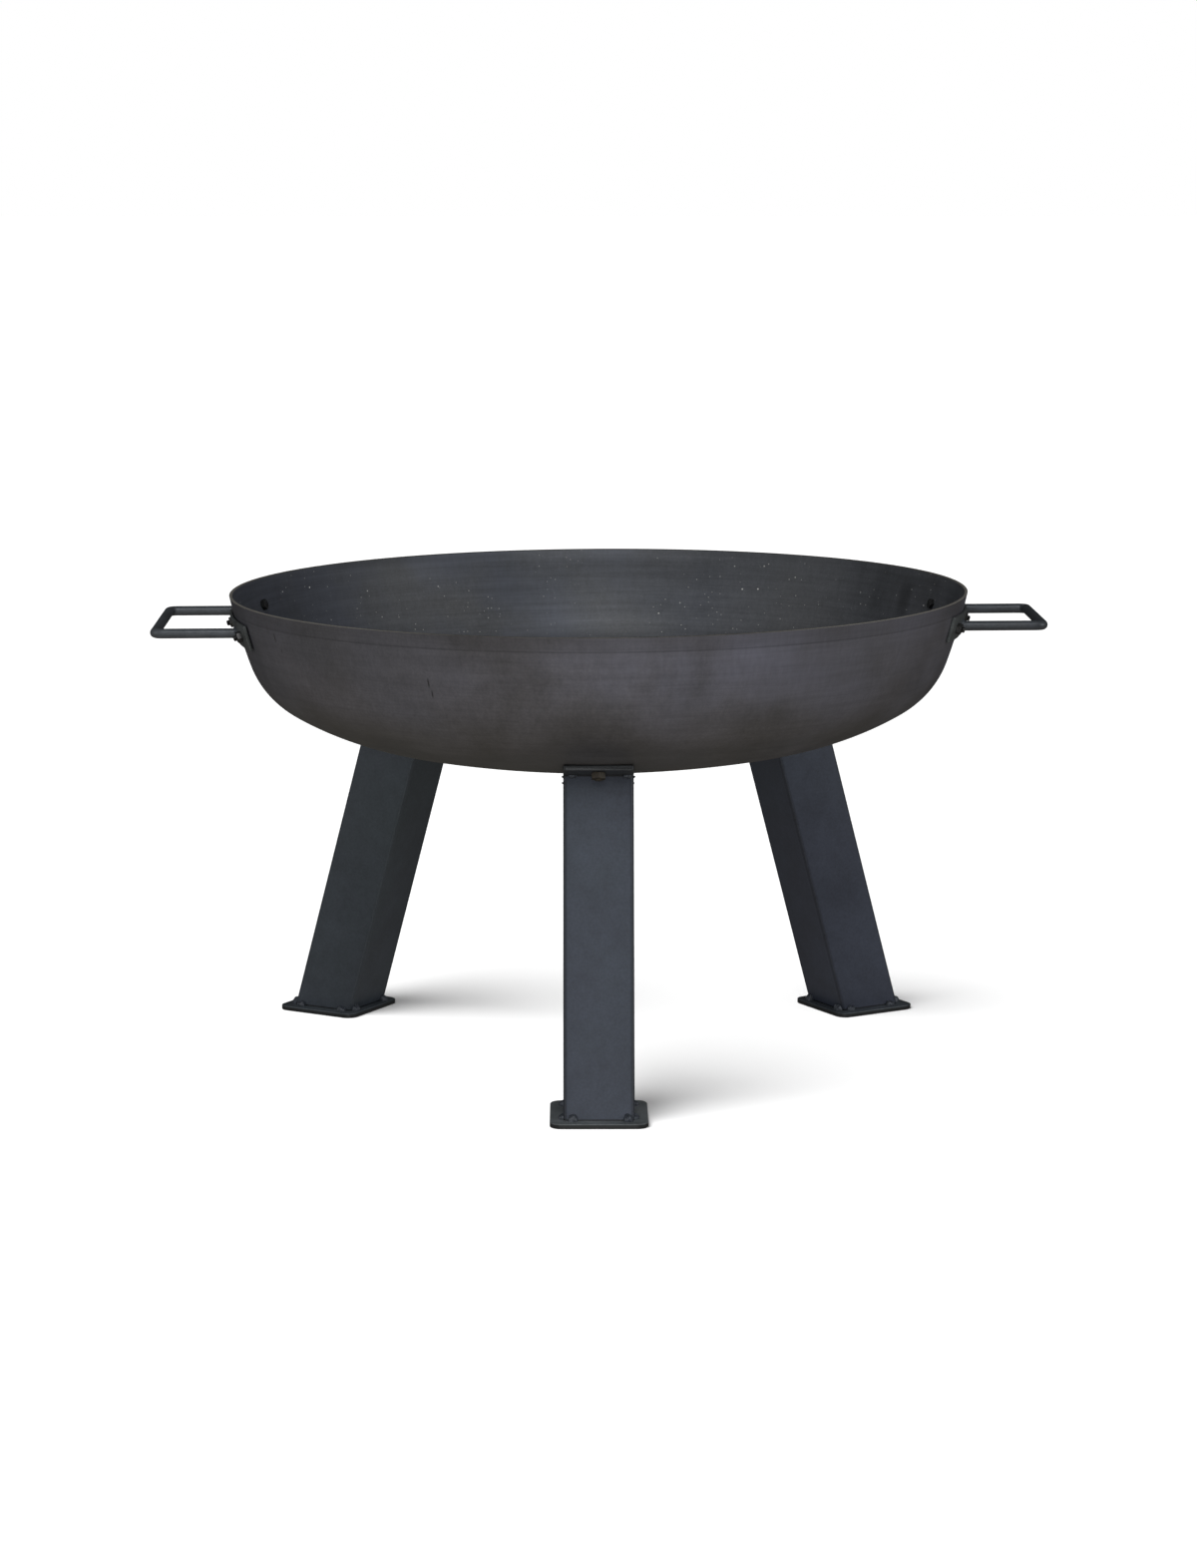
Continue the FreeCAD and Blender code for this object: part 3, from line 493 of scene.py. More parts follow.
def bowl_outside():
    """Brown to blue-grey mill scale with a few dark nicks, painted shade along the ring crease and on
    the band above it, a painted sheen at the upper middle, and painted shade towards its right side.
    """
    material, tree, surface, color = worn_steel(
        "bowl_outside", (0.07, 0.067, 0.07), (0.108, 0.104, 0.114), (0.07, 0.075, 0.094),
        metallic=0.35, roughness=0.47, patch=12.0)
    azimuth, right, height = round_the_bowl(tree)
    cloud = remap(tree, noise_field(tree, 6.0, detail=4.0), 0.35, 0.6)
    high = remap(tree, height, 0.36, 0.41)
    bluer = combine(tree, "MULTIPLY", remap(tree, right, -0.2, 0.1, 0.1, 0.9), cloud)
    bluer = combine(tree, "MULTIPLY", bluer, high)
    color = blend_color(tree, bluer, color, (0.126, 0.127, 0.157))
    browner = combine(tree, "MULTIPLY", remap(tree, height, 0.39, 0.32),
                      remap(tree, right, 0.1, -0.25, 0.3, 0.8))
    color = blend_color(tree, browner, color, (0.096, 0.09, 0.074))
    # Painted sheen: the upper middle of the outside is made paler and bluer.
    painted_sheen = mark(tree, right, height, *OUTSIDE_PAINTED_SHEEN)
    color = blend_color(tree, painted_sheen, color, darken(tree, color, (1.17, 1.19, 1.25, 1.0)))
    # Painted shade: the outside darkens towards its right side.
    color = shade(tree, color, right, 0.12, 0.2, 1.0, 0.86)
    color = weave(tree, streak(tree, color, 40.0, 0.92, 1.07))
    ring_height = (RIM_HEIGHT - BAND_HEIGHT) * MM
    # Painted shade: the band above the ring crease is darker, and the crease itself is a dark painted
    # line.
    color = shade(tree, color, height, ring_height - 0.001, ring_height, 1.0, 0.88)
    ring = combine(tree, "ABSOLUTE", combine(tree, "SUBTRACT", height, ring_height), 0.0)
    color = shade(tree, color, ring, 0.0004, 0.0012, 0.78, 1.0)
    for middle, half_size in BOWL_NICKS:
        nick = mark(tree, azimuth, height, middle, half_size)
        color = shade(tree, color, nick, 0.0, 1.0, 1.0, 0.3)
    tree.links.new(color, surface.inputs["Base Color"])
    return material


def bowl_inside():
    """Blue-grey mill scale, brushed level, with pale specks, one darker stain, a painted sheen across
    its middle and painted shade towards its sides.
    """
    material, tree, surface, color = worn_steel(
        "bowl_inside", (0.046, 0.05, 0.057), (0.08, 0.085, 0.095), (0.067, 0.066, 0.065),
        metallic=0.35, roughness=0.5, patch=10.0)
    azimuth, right, height = round_the_bowl(tree)
    cloud = remap(tree, noise_field(tree, 8.0, detail=3.0), 0.35, 0.6)
    bluer = combine(tree, "MULTIPLY", remap(tree, right, 0.2, -0.1, 0.1, 0.9), cloud)
    color = blend_color(tree, bluer, color, (0.062, 0.069, 0.088))
    # Painted sheen: the middle of the inside is made paler.
    painted_sheen = mark(tree, right, height, *INSIDE_PAINTED_SHEEN)
    color = shade(tree, color, painted_sheen, 0.0, 1.0, 1.0, 1.27)
    # Painted shade: the inside darkens towards its left and right sides.
    aside = combine(tree, "ABSOLUTE", right, 0.0)
    color = shade(tree, color, aside, 0.17, 0.25, 1.0, 0.83)
    color = weave(tree, streak(tree, color, 55.0, 0.84, 1.14))
    stain = mark(tree, azimuth, height, *INSIDE_STAIN)
    color = shade(tree, color, stain, 0.0, 1.0, 1.0, 0.55)
    crowd = remap(tree, noise_field(tree, 7.0, detail=2.0), 0.4, 0.52)
    for scale, size, tone in ((120.0, 0.13, 0.85), (230.0, 0.17, 0.5)):
        specks = combine(tree, "MULTIPLY", speck_field(tree, scale, size), crowd)
        color = blend_color(tree, specks, color, (tone, tone, 0.96 * tone))
    tree.links.new(color, surface.inputs["Base Color"])
    return material


def bowl_rim():
    """The cut edge, with a painted highlight that makes it paler at the bowl's sides, and darker at
    its back.
    """
    material, tree, surface, color = worn_steel(
        "bowl_rim", (0.055, 0.052, 0.049), (0.08, 0.076, 0.07), (0.05, 0.05, 0.05),
        metallic=0.35, roughness=0.45, patch=30.0)
    azimuth, right, _ = round_the_bowl(tree)
    # Painted highlight: the rim turns paler towards the bowl's sides.
    aside = combine(tree, "ABSOLUTE", right, 0.0)
    color = blend_color(tree, remap(tree, aside, 0.12, 0.34), color, (0.2, 0.19, 0.172))
    turned = combine(tree, "ABSOLUTE", azimuth, 0.0)
    color = shade(tree, color, turned, 1.6, 2.1, 1.0, 0.4)
    tree.links.new(color, surface.inputs["Base Color"])
    return material


def leg_steel(name, cast, corner):
    """Slate-blue mill scale with a faint cast of its own. It has painted shade along the tube's
    rounded corners and in the joint at each of its ends."""
    material, tree, surface, color = worn_steel(
        "leg_steel_" + name, (0.036, 0.042, 0.057), (0.048, 0.056, 0.076), (0.039, 0.05, 0.06),
        metallic=0.35, roughness=0.45, patch=12.0)
    color = darken(tree, color, (*cast, 1.0))
    across, along, below_plate = split_axes(tree, lean=LEG_LEAN)
    # Painted shade: the tube darkens along its rounded corners.
    sides = [combine(tree, "ABSOLUTE", side, 0.0) for side in (across, along)]
    cornered = combine(tree, "MINIMUM", *sides)
    flat = (TUBE_WIDTH / 2 - TUBE_CORNER) * MM
    color = shade(tree, color, cornered, flat, flat + 0.0025, 1.0, corner)
    # Painted shade in the joints: a dark line under the top plate and above the foot plate.
    joint = -(PLATE + JOINT_SHADE + LEG_DROPS[name]) * MM
    color = shade(tree, color, below_plate, joint - 0.0004, joint, 1.0, 0.08)
    height = split_axes(tree)[2]
    joint = (PLATE + JOINT_SHADE - LEG_TOP.y) * MM
    color = shade(tree, color, height, joint, joint + 0.0004, 0.12, 1.0)
    tree.links.new(color, surface.inputs["Base Color"])
    return material


def top_plate_steel():
    return worn_steel("top_plate_steel", (0.03, 0.033, 0.037), (0.044, 0.048, 0.052),
                      (0.034, 0.038, 0.042), metallic=0.35, roughness=0.42, patch=35.0)[0]


def foot_plate_steel(name, cast):
    """Dark mill scale made paler with painted light from above, with the edges below the top face
    kept darker than the painted-lit top, darker towards its outer side, and with a cast, faint on the
    front plate and painted shade on the rear plates."""
    # Painted light from above: these tones are much paler than the plate's own dark steel.
    material, tree, surface, color = worn_steel(
        "foot_plate_steel_" + name, (0.118, 0.132, 0.136), (0.175, 0.19, 0.195), (0.13, 0.148, 0.153),
        metallic=0.35, roughness=0.45, patch=35.0)
    color = darken(tree, color, (*cast, 1.0))
    outward, _, height = split_axes(tree)
    color = shade(tree, color, outward, 0.034, 0.042, 1.0, 0.7)
    # The edges below the top face are darker, so that the painted light lies on the top face only.
    top = PLATE * MM
    color = shade(tree, color, height, top - 0.0012, top - 0.0002, 0.13, 1.0)
    tree.links.new(color, surface.inputs["Base Color"])
    return material


def bar_steel(name, dark, light):
    return worn_steel("bar_steel_" + name, dark, light, (0.046, 0.05, 0.056),
                      metallic=0.3, roughness=0.42, patch=45.0)[0]


def strip_steel():
    return worn_steel("strip_steel", (0.062, 0.07, 0.071), (0.1, 0.11, 0.112),
                      (0.07, 0.074, 0.072), metallic=0.35, roughness=0.4, patch=60.0)[0]


def weld_metal():
    return worn_steel("weld_metal", (0.034, 0.04, 0.052), (0.054, 0.062, 0.078),
                      (0.04, 0.044, 0.05), metallic=0.35, roughness=0.42, patch=160.0)[0]


def black_fastener():
    return worn_steel("black_fastener", (0.004, 0.004, 0.0045), (0.009, 0.009, 0.009),
                      (0.007, 0.0065, 0.006), metallic=0.1, roughness=0.28, patch=220.0)[0]


def rusty_fastener():
    return worn_steel("rusty_fastener", (0.027, 0.023, 0.016), (0.052, 0.044, 0.031),
                      (0.06, 0.04, 0.024), metallic=0.3, roughness=0.5, patch=200.0)[0]


MATERIALS = {
    "bowl_outside": bowl_outside(),
    "bowl_inside": bowl_inside(),
    "bowl_rim": bowl_rim(),
    # Each leg's last number sets how dark the painted shade along its tube's corners is.
    "leg_steel_front": leg_steel("front", (0.97, 1.0, 1.02), 0.45),
    "leg_steel_right": leg_steel("right", (0.98, 1.0, 1.1), 0.5),
    "leg_steel_left": leg_steel("left", (1.07, 1.12, 1.04), 0.85),
    "top_plate_steel": top_plate_steel(),
    # The rear legs' foot plates are darker copies of the front one: painted shade.
    "foot_plate_steel_front": foot_plate_steel("front", (1.02, 1.02, 1.05)),
    "foot_plate_steel_right": foot_plate_steel("right", (0.52, 0.55, 0.62)),
    "foot_plate_steel_left": foot_plate_steel("left", (0.56, 0.6, 0.67)),
    # The left bar's steel is paler and the right's darker: painted light and painted shade on two
    # copies of one steel.
    "bar_steel_right": bar_steel("right", (0.03, 0.035, 0.043), (0.042, 0.049, 0.059)),
    "bar_steel_left": bar_steel("left", (0.051, 0.058, 0.067), (0.072, 0.08, 0.091)),
    "strip_steel": strip_steel(),
    "weld_metal": weld_metal(),
    "black_fastener": black_fastener(),
    "rusty_fastener": rusty_fastener(),
}

# ---------------------------------------------------------------- bowl


def bowl_profile():
    """Outside from the axis up, over the rounded rim, and down the inside to the axis."""
    outside, inside = [], []
    for arc in ARCS:
        outside += arc_points(arc, 0.0)
        inside += arc_points(arc, SHEET_WALL)
    band = Vector((math.sin(math.radians(BAND_LEAN)), math.cos(math.radians(BAND_LEAN))))
    outer_rim = Vector((RIM_RADIUS, RIM_HEIGHT))
    inner_rim = outer_rim - Vector((SHEET_WALL / math.cos(math.radians(BAND_LEAN)), 0))
    rim = [outer_rim - band * RIM_ROUNDING]
    for step in range(1, RIM_STEPS):
        turn = math.pi / 2 * step / RIM_STEPS
        rim.append(outer_rim - Vector((RIM_ROUNDING * (1 - math.cos(turn)),
                                       RIM_ROUNDING * (1 - math.sin(turn)))))
    rim.append(outer_rim - Vector((RIM_ROUNDING, 0)))
    rim.append(inner_rim + Vector((RIM_ROUNDING, 0)))
    for step in range(1, RIM_STEPS):
        turn = math.pi / 2 * (1 - step / RIM_STEPS)
        rim.append(inner_rim + Vector((RIM_ROUNDING * (1 - math.cos(turn)),
                                       -RIM_ROUNDING * (1 - math.sin(turn)))))
    rim.append(inner_rim - band * RIM_ROUNDING)
    outside.reverse()
    return outside, rim, inside


def add_bowl():
    """The pressed bowl, a lathe shape that is very slightly out of round."""
    outside, rim, inside = bowl_profile()
    profile = outside[1:] + rim + inside[:-1]
    vertices, faces = [], []
    for segment in range(BOWL_SEGMENTS):
        turn = 2 * math.pi * segment / BOWL_SEGMENTS
        direction = Vector((math.cos(turn), math.sin(turn), 0))
        for point in profile:
            share = point.x / RIM_RADIUS
            spot = direction * WOBBLE_WAVES + Vector((0, 0, point.y / WOBBLE_HEIGHT))
            wobble = BOWL_WOBBLE * share * noise.noise(spot)
            vertices.append(direction * (point.x + wobble) + Vector((0, 0, point.y)))
    size = len(profile)
    for segment in range(BOWL_SEGMENTS):
        here = segment * size
        there = ((segment + 1) % BOWL_SEGMENTS) * size
        for step in range(size - 1):
            faces.append((here + step, there + step, there + step + 1, here + step + 1))
    for end, height in ((0, outside[0].y), (size - 1, inside[-1].y)):
        middle = len(vertices)
        vertices.append(Vector((0, 0, height)))
        for segment in range(BOWL_SEGMENTS):
            after = (segment + 1) % BOWL_SEGMENTS
            faces.append((segment * size + end, after * size + end, middle))
    names = ["bowl_outside", "bowl_inside", "bowl_rim"]
    looks = [MATERIALS[look] for look in names]
    piece = add_piece("fire_bowl", (vertices, faces), BOWL_PLACE, looks, 80.0)
    rim_low = (RIM_HEIGHT - RIM_ROUNDING) * MM
    for face in piece.data.polygons:
        outward = face.normal.x * face.center.x + face.normal.y * face.center.y
        if face.center.z > rim_low:
            face.material_index = names.index("bowl_rim")
        elif face.normal.z > UPWARD or outward < 0:
            face.material_index = names.index("bowl_inside")


# ---------------------------------------------------------------- fasteners and welds


def hexagon_reach(turn, flats):
    """Distance from a hexagon's middle to its outline. A corner lies on the X axis."""
    return flats / 2 / math.cos(turn % (math.pi / 3) - math.pi / 6)


def hexagon_ring(flats, height, side, count):
    """The hexagon's outline where its chamfer cuts it, on its upper or lower side."""
    points = []
    for step in range(count):
        turn = 2 * math.pi * step / count
        reach = hexagon_reach(turn, flats)
        drop = max(0.0, reach - CHAMFER_REACH * flats) * math.tan(math.radians(CHAMFER_SLOPE))
        points.append((reach * math.cos(turn), reach * math.sin(turn), height - side * drop))
    return points


def hexagon_head(flats, low, high, count=48):
    """A bolt head whose top, at low, is chamfered and slightly dished."""
    rings = [
        circle(DISH_REACH[0] * flats, low + DISH_DEPTH, count),
        circle(DISH_REACH[1] * flats, low, count),
        circle(CHAMFER_REACH * flats, low, count),
        hexagon_ring(flats, low, -1, count),
        hexagon_ring(flats, high, 0, count),
        circle(SEAT_REACH * flats, high, count),
    ]
    return skin(rings)


def hexagon_nut(flats, bore, low, high, count=48):
    """A nut, chamfered on its free side, with a countersunk bore."""
    rings = [
        circle(bore, low, count),
        circle(CHAMFER_REACH * flats, low, count),
        hexagon_ring(flats, low, -1, count),
        hexagon_ring(flats, high, 1, count),
        circle(CHAMFER_REACH * flats, high, count),
        circle(bore + COUNTERSINK, high, count),
        circle(bore, high - COUNTERSINK, count),
    ]
    return skin(rings, closed=True)


def thread(size, low, high, count=36, steps=8):
    """A screw thread with a chamfered tip at high."""
    depth = THREAD_DEPTH * size["pitch"]
    levels = int(steps * (high - low) / size["pitch"])
    rings = []
    for level in range(levels + 1):
        height = low + (high - low) * level / levels
        ring = []
        for step in range(count):
            phase = ((height - low) / size["pitch"] - step / count) % 1.0
            cut = depth * (1 - abs(2 * phase - 1))
            tip = min(size["shank"] - cut, size["shank"] - TIP_CHAMFER + (high - height))
            turn = 2 * math.pi * step / count
            ring.append((tip * math.cos(turn), tip * math.sin(turn), height))
        rings.append(ring)
    return skin(rings)


def bolt(size, seat, tip):
    """Head below the seat, plain shank, and thread at the tip."""
    head = hexagon_head(size["flats"], seat - size["head"], seat)
    thread_start = tip - size["end"] - size["pitch"]
    shank = skin([circle(size["shank"], height, 24) for height in (seat - HEAD_SEAT, thread_start)])
    return joined([head, shank, thread(size, thread_start, tip)])


def bead(length, radius, sweep, seed):
    """A lumpy run of weld in a corner: it lies along Z and fills from X round by sweep."""
    rings = []
    for step in range(BEAD_STEPS + 1):
        share = step / BEAD_STEPS
        end_taper = (1 - abs(2 * share - 1) ** 3) ** 0.5
        height = length * share
        ring = [(0, 0, height)]
        for arc_step in range(BEAD_ARC_STEPS + 1):
            turn = math.radians(sweep) * arc_step / BEAD_ARC_STEPS
            spot = Vector((math.cos(turn), math.sin(turn), height / 4.0 + seed))
            ripple = BEAD_RIPPLE * math.sin(height * 3.1 + seed)
            lumps = 1 + BEAD_LUMP * noise.noise(spot * 1.3) + ripple
            reach = radius * (BEAD_END + (1 - BEAD_END) * end_taper) * lumps
            ring.append((reach * math.cos(turn), reach * math.sin(turn), height))
        rings.append(ring)
    return skin(rings)


# ---------------------------------------------------------------- handles


def strip_skin(height, side_step):
    """How far out the strip's outer face lies, at a height and a distance along the handle."""
    face = WALL_POINT + unit(STRIP_LEAN) * (STRIP_GAP + STRIP_THICKNESS)
    radius = face.x + (height - face.y) * math.tan(math.radians(STRIP_LEAN))
    return math.sqrt(radius ** 2 - side_step ** 2)


def add_bar(side, place):
    """One round bar, bent twice into a U that lies level, from strip to strip."""
    level = RIM_HEIGHT - BAR_DROP
    straight = BAR_REACH - BAR_BEND
    inner = BAR_SPREAD - BAR_BEND
    start = strip_skin(level, BAR_SPREAD) - BAR_SINK * STRIP_THICKNESS
    path = [(start, -BAR_SPREAD, 0.0), (0.5 * (start + straight), -BAR_SPREAD, 0.0)]
    for middle, first in (((straight, -inner), -90), ((straight, inner), 0)):
        for step in range(BEND_STEPS + 1):
            turn = first + 90 * step / BEND_STEPS
            x = middle[0] + BAR_BEND * math.cos(math.radians(turn))
            y = middle[1] + BAR_BEND * math.sin(math.radians(turn))
            path.append((x, y, turn + 90))
    path += [(0.5 * (start + straight), BAR_SPREAD, 180.0), (start, BAR_SPREAD, 180.0)]
    rings = []
    for x, y, heading in path:
        side_way = Vector((math.sin(math.radians(heading)), -math.cos(math.radians(heading)), 0))
        ring = []
        for across, up, _ in circle(BAR_RADIUS, 0, 32):
            ring.append(Vector((x, y, level + up)) + side_way * across)
        rings.append(ring)
    add_piece("handle_%s_bar" % side, skin(rings), place, [MATERIALS["bar_steel_" + side]])


def add_strip(side, place):
    """The curved flat strip with softened edges."""
    middle = WALL_POINT + unit(STRIP_LEAN) * (STRIP_GAP + STRIP_THICKNESS / 2)
    outward = unit(STRIP_LEAN)
    upward = Vector((-outward.y, outward.x))
    rings = []
    end_step = math.degrees(STRIP_EDGE / middle.x)
    angles = [-STRIP_HALF_ANGLE, -STRIP_HALF_ANGLE + end_step]
    angles += [-STRIP_HALF_ANGLE + step for step in range(1, int(2 * STRIP_HALF_ANGLE))]
    angles += [STRIP_HALF_ANGLE - end_step, STRIP_HALF_ANGLE]
    for index, angle in enumerate(angles):
        inset = STRIP_EDGE if index in (0, len(angles) - 1) else 0.0
        section = rounded_rectangle(STRIP_THICKNESS / 2 - inset, STRIP_HEIGHT / 2 - inset,
                                    STRIP_EDGE, 0, steps=3)
        ring = []
        for across, along, _ in section:
            point = middle + outward * across + upward * along
            turn = math.radians(angle)
            ring.append((point.x * math.cos(turn), point.x * math.sin(turn), point.y))
        rings.append(ring)
    add_piece("handle_%s_strip" % side, skin(rings), place, [MATERIALS["strip_steel"]])


def collar(sign, seed, count=40):
    """A lumpy ring of weld round one end of the bar."""
    level = RIM_HEIGHT - BAR_DROP
    rings = []
    for step in range(count):
        turn = 2 * math.pi * step / count
        cosine, sine = math.cos(turn), math.sin(turn)
        lump = 1 + COLLAR_LUMP * noise.noise(Vector((2 * cosine, 2 * sine, seed)))
        leg = COLLAR_SHARE * COLLAR_LEG * lump
        ring = []
        for out, along in COLLAR_PROFILE:
            reach = BAR_RADIUS + leg * out
            across = sign * BAR_SPREAD + reach * cosine
            height = level + reach * sine
            ring.append((strip_skin(height, across) + leg * along, across, height))
        rings.append(ring)
    return skin(rings, closed=True)


def add_handle(side):
    """Bar, strip, weld collars, bolts and nuts of one handle."""
    azimuth = HANDLES[side]
    level = RIM_HEIGHT - BAR_DROP
    whole = BOWL_PLACE @ station(azimuth + HANDLE_TURN, 0, level, 0)
    whole = shifted(whole, 0, 0, 0, HANDLE_TWIST, "X") @ Matrix.Translation((0, 0, -level))
    add_bar(side, whole)
    add_strip(side, whole)
    collars = [collar(-1, azimuth + 3.0), collar(1, azimuth + 7.0)]
    add_piece("handle_%s_welds" % side, joined(collars), whole, [MATERIALS["weld_metal"]])
    seat = -SHEET_WALL - HEAD_SEAT
    nut_seat = STRIP_GAP + STRIP_THICKNESS
    tip = nut_seat + M6["nut"] + M6["end"]
    bolts, nuts = [], []
    for step in (-1, 0, 1):
        place = station(step * HANDLE_BOLT_ANGLE, WALL_POINT.x, WALL_POINT.y, 90 + STRIP_LEAN)
        place = shifted(place, 0, 0, 0, angle=random.uniform(0, 60))
        bolts.append(moved(bolt(M6, seat, tip), place))
        nut = hexagon_nut(M6["flats"], M6["shank"] + NUT_PLAY, nut_seat, nut_seat + M6["nut"])
        nuts.append(moved(nut, shifted(place, 0, 0, 0, angle=random.uniform(0, 60))))
    black = [MATERIALS["black_fastener"]]
    add_piece("handle_%s_bolts" % side, joined(bolts), whole, black)
    add_piece("handle_%s_nuts" % side, joined(nuts), whole, black)


# ---------------------------------------------------------------- legs


def leg_bolt_seat(offset):
    """Height of a leg bolt's head seat above the top plate, inside the bowl."""
    lean = math.radians(LEG_LEAN)
    up_tube = Vector((-math.sin(lean), math.cos(lean)))
    start = LEG_TOP + Vector((math.cos(lean), math.sin(lean))) * offset
    centre, radius, _, _ = ARCS[2] if start.x > BOWL_ARCS[2][1] else ARCS[3]
    inner = radius - SHEET_WALL
    along = (start - centre).dot(up_tube)
    inside = -along - math.sqrt(along ** 2 - (start - centre).length_squared + inner ** 2)
    seat_point = start + up_tube * inside
    slope = math.asin((seat_point.x - centre.x) / inner)
    lift = M8["flats"] / math.sqrt(3) * math.tan(abs(lean - slope))
    return inside + lift + HEAD_SEAT


def add_tube(name, azimuth, place):
    """Square tube with rounded corners, cut level where it meets the foot plate. Its object
    stands upright, so that the tube's lean is in its mesh."""
    upright = station(azimuth, LEG_TOP.x, LEG_TOP.y, 0)
    top_ring = rounded_rectangle(TUBE_WIDTH / 2, TUBE_WIDTH / 2, TUBE_CORNER, -PLATE)
    down = place.to_3x3() @ Vector((0, 0, -1))
    rings = [top_ring]
    for share in (0.25, 0.5, 0.75, 1.0):
        ring = []
        for x, y, z in top_ring:
            start = place @ Vector((x, y, z))
            length = (start.z - PLATE) / -down.z
            ring.append((x, y, z - share * length))
        rings.append(ring)
    tube = moved(skin(rings), upright.inverted() @ place)
    add_piece("leg_%s_tube" % name, tube, upright, [MATERIALS["leg_steel_" + name]])


def overhang_rise(x):
    """How far the top plate is pulled up, at a distance outward from the tube's axis."""
    half = TUBE_WIDTH / 2
    return OVERHANG_RISE * max(0.0, x - half) / (TOP_PLATE_LENGTH / 2 - half)


def bent_top_plate():
    """The flat top plate, with its outer overhang bent up a little beside the tube."""
    end = TOP_PLATE_LENGTH / 2
    edge = TOP_PLATE_EDGE
    inner = [(-end, TOP_PLATE_CORNER, edge), (-end + edge, 0.5 * TOP_PLATE_CORNER, 0.0),
             (-end + TOP_PLATE_CORNER, 0.0, 0.0)]
    outer = [(-x, narrower, thinner) for x, narrower, thinner in reversed(inner)]
    rings = []
    for x, narrower, thinner in inner + [(TUBE_WIDTH / 2, 0.0, 0.0)] + outer:
        section = rounded_rectangle(TUBE_WIDTH / 2 - narrower, PLATE / 2 - thinner, edge, 0, steps=3)
        lift = overhang_rise(x) - PLATE / 2
        rings.append([(x, across, up + lift) for across, up, _ in section])
    return skin(rings)


def add_plates(name, azimuth, place):
    foot_plate = rounded_slab(FOOT_WIDTH / 2, FOOT_WIDTH / 2, 0, PLATE, FOOT_CORNER, FOOT_EDGE)
    look = [MATERIALS["top_plate_steel"]]
    add_piece("leg_%s_top_plate" % name, bent_top_plate(), place, look)
    look = [MATERIALS["foot_plate_steel_" + name]]
    foot_place = station(azimuth, FOOT_RADIUS, 0, 0)
    add_piece("leg_%s_foot_plate" % name, foot_plate, foot_place, look)


def add_leg_welds(name, azimuth, place):
    """Two tack welds on each tube face, at its top and at its foot."""
    lean = math.radians(LEG_LEAN)
    half = TUBE_WIDTH / 2
    foot_place = station(azimuth, FOOT_RADIUS - PLATE * math.tan(lean), PLATE, 0)
    top_tacks, foot_tacks = [], []
    for face in range(4):
        top_face = shifted(place, 0, 0, -PLATE, 90 * face)
        foot_face = shifted(foot_place, 0, 0, 0, 90 * face)
        facing = (1, 0, -1, 0)[face]
        distance = half / math.cos(lean) if facing else half
        for sign in (-1, 1):
            length = TACK_LENGTH * random.uniform(0.85, 1.1)
            radius = TOP_TACK_RADIUS if facing else TOP_SIDE_TACK_RADIUS
            offset = sign * TACK_OFFSET + random.uniform(-2, 2)
            seed = 10 * random.random()
            spot = shifted(top_face, half, offset - length / 2, 0, -90, "X")
            top_tacks.append(moved(bead(length, radius, 90, seed), place.inverted() @ spot))
            spot = shifted(foot_face, distance, offset + length / 2, 0, 90, "X")
            sweep = 90 + facing * LEG_LEAN
            foot_radius = FOOT_TACK_RADIUS if facing else FOOT_SIDE_TACK_RADIUS
            tack = bead(length, foot_radius, sweep, seed + 5)
            foot_tacks.append(moved(tack, foot_place.inverted() @ spot))
    look = [MATERIALS["weld_metal"]]
    add_piece("leg_%s_top_welds" % name, joined(top_tacks), place, look)
    add_piece("leg_%s_foot_welds" % name, joined(foot_tacks), foot_place, look)


def add_leg_fasteners(name, place):
    """A bolt and nut in each overhang of the top plate, square to it."""
    bolts, nuts = [], []
    bend = math.degrees(math.atan2(OVERHANG_RISE, (TOP_PLATE_LENGTH - TUBE_WIDTH) / 2))
    for sign, tip_up in ((-1, 0.0), (1, bend)):
        offset = sign * LEG_BOLT_OFFSET
        rise = overhang_rise(offset)
        on_plate = shifted(Matrix(), offset, 0, rise, -tip_up, "Y")
        down = shifted(on_plate, 0, 0, 0, 180, "X")
        down = shifted(down, 0, 0, 0, random.uniform(0, 60))
        tip = PLATE + M8["nut"] + M8["end"]
        seat = leg_bolt_seat(offset) + LEG_DROPS[name] - rise
        bolts.append(moved(bolt(M8, -seat, tip), down))
        nut = hexagon_nut(M8["flats"], M8["shank"] + NUT_PLAY, PLATE, PLATE + M8["nut"])
        nuts.append(moved(nut, down))
    look = [MATERIALS["rusty_fastener"]]
    add_piece("leg_%s_bolts" % name, joined(bolts), place, look)
    add_piece("leg_%s_nuts" % name, joined(nuts), place, look)


def add_leg(name):
    azimuth = LEGS[name] + LEG_TURN
    place = station(azimuth, LEG_TOP.x, LEG_TOP.y, -LEG_LEAN)
    place = shifted(place, 0, 0, -LEG_DROPS[name])
    add_tube(name, azimuth, place)
    add_plates(name, azimuth, place)
    add_leg_welds(name, azimuth, place)
    add_leg_fasteners(name, place)


# ---------------------------------------------------------------- studio

# Metres, degrees and watts.
FLOOR_SIZE = 60.0
BACKDROP_RADIUS = 40.0
FLOOR_KEY_FROM = (-1.9, -1.5, 3.0)
FLOOR_KEY = (55.0, 4.0)     # the sun's angle and its strength
FLOOR_FILL = (10.0, 0.5)
SKY_STRENGTH = 0.28
GROUND_STRENGTH = 0.365
GROUND_COLOR = (1.0, 0.95, 0.87)
OBJECT_TARGET = (0, 0, 0.35)
CAMERA_SPOT = (0.0005, -4.0508, 0.9603)
CAMERA_PITCH = 80.323
CAMERA_YAW = -0.013
CAMERA_LENS = 91.83         # millimetres, as is the sensor
CAMERA_SENSOR = 36.0
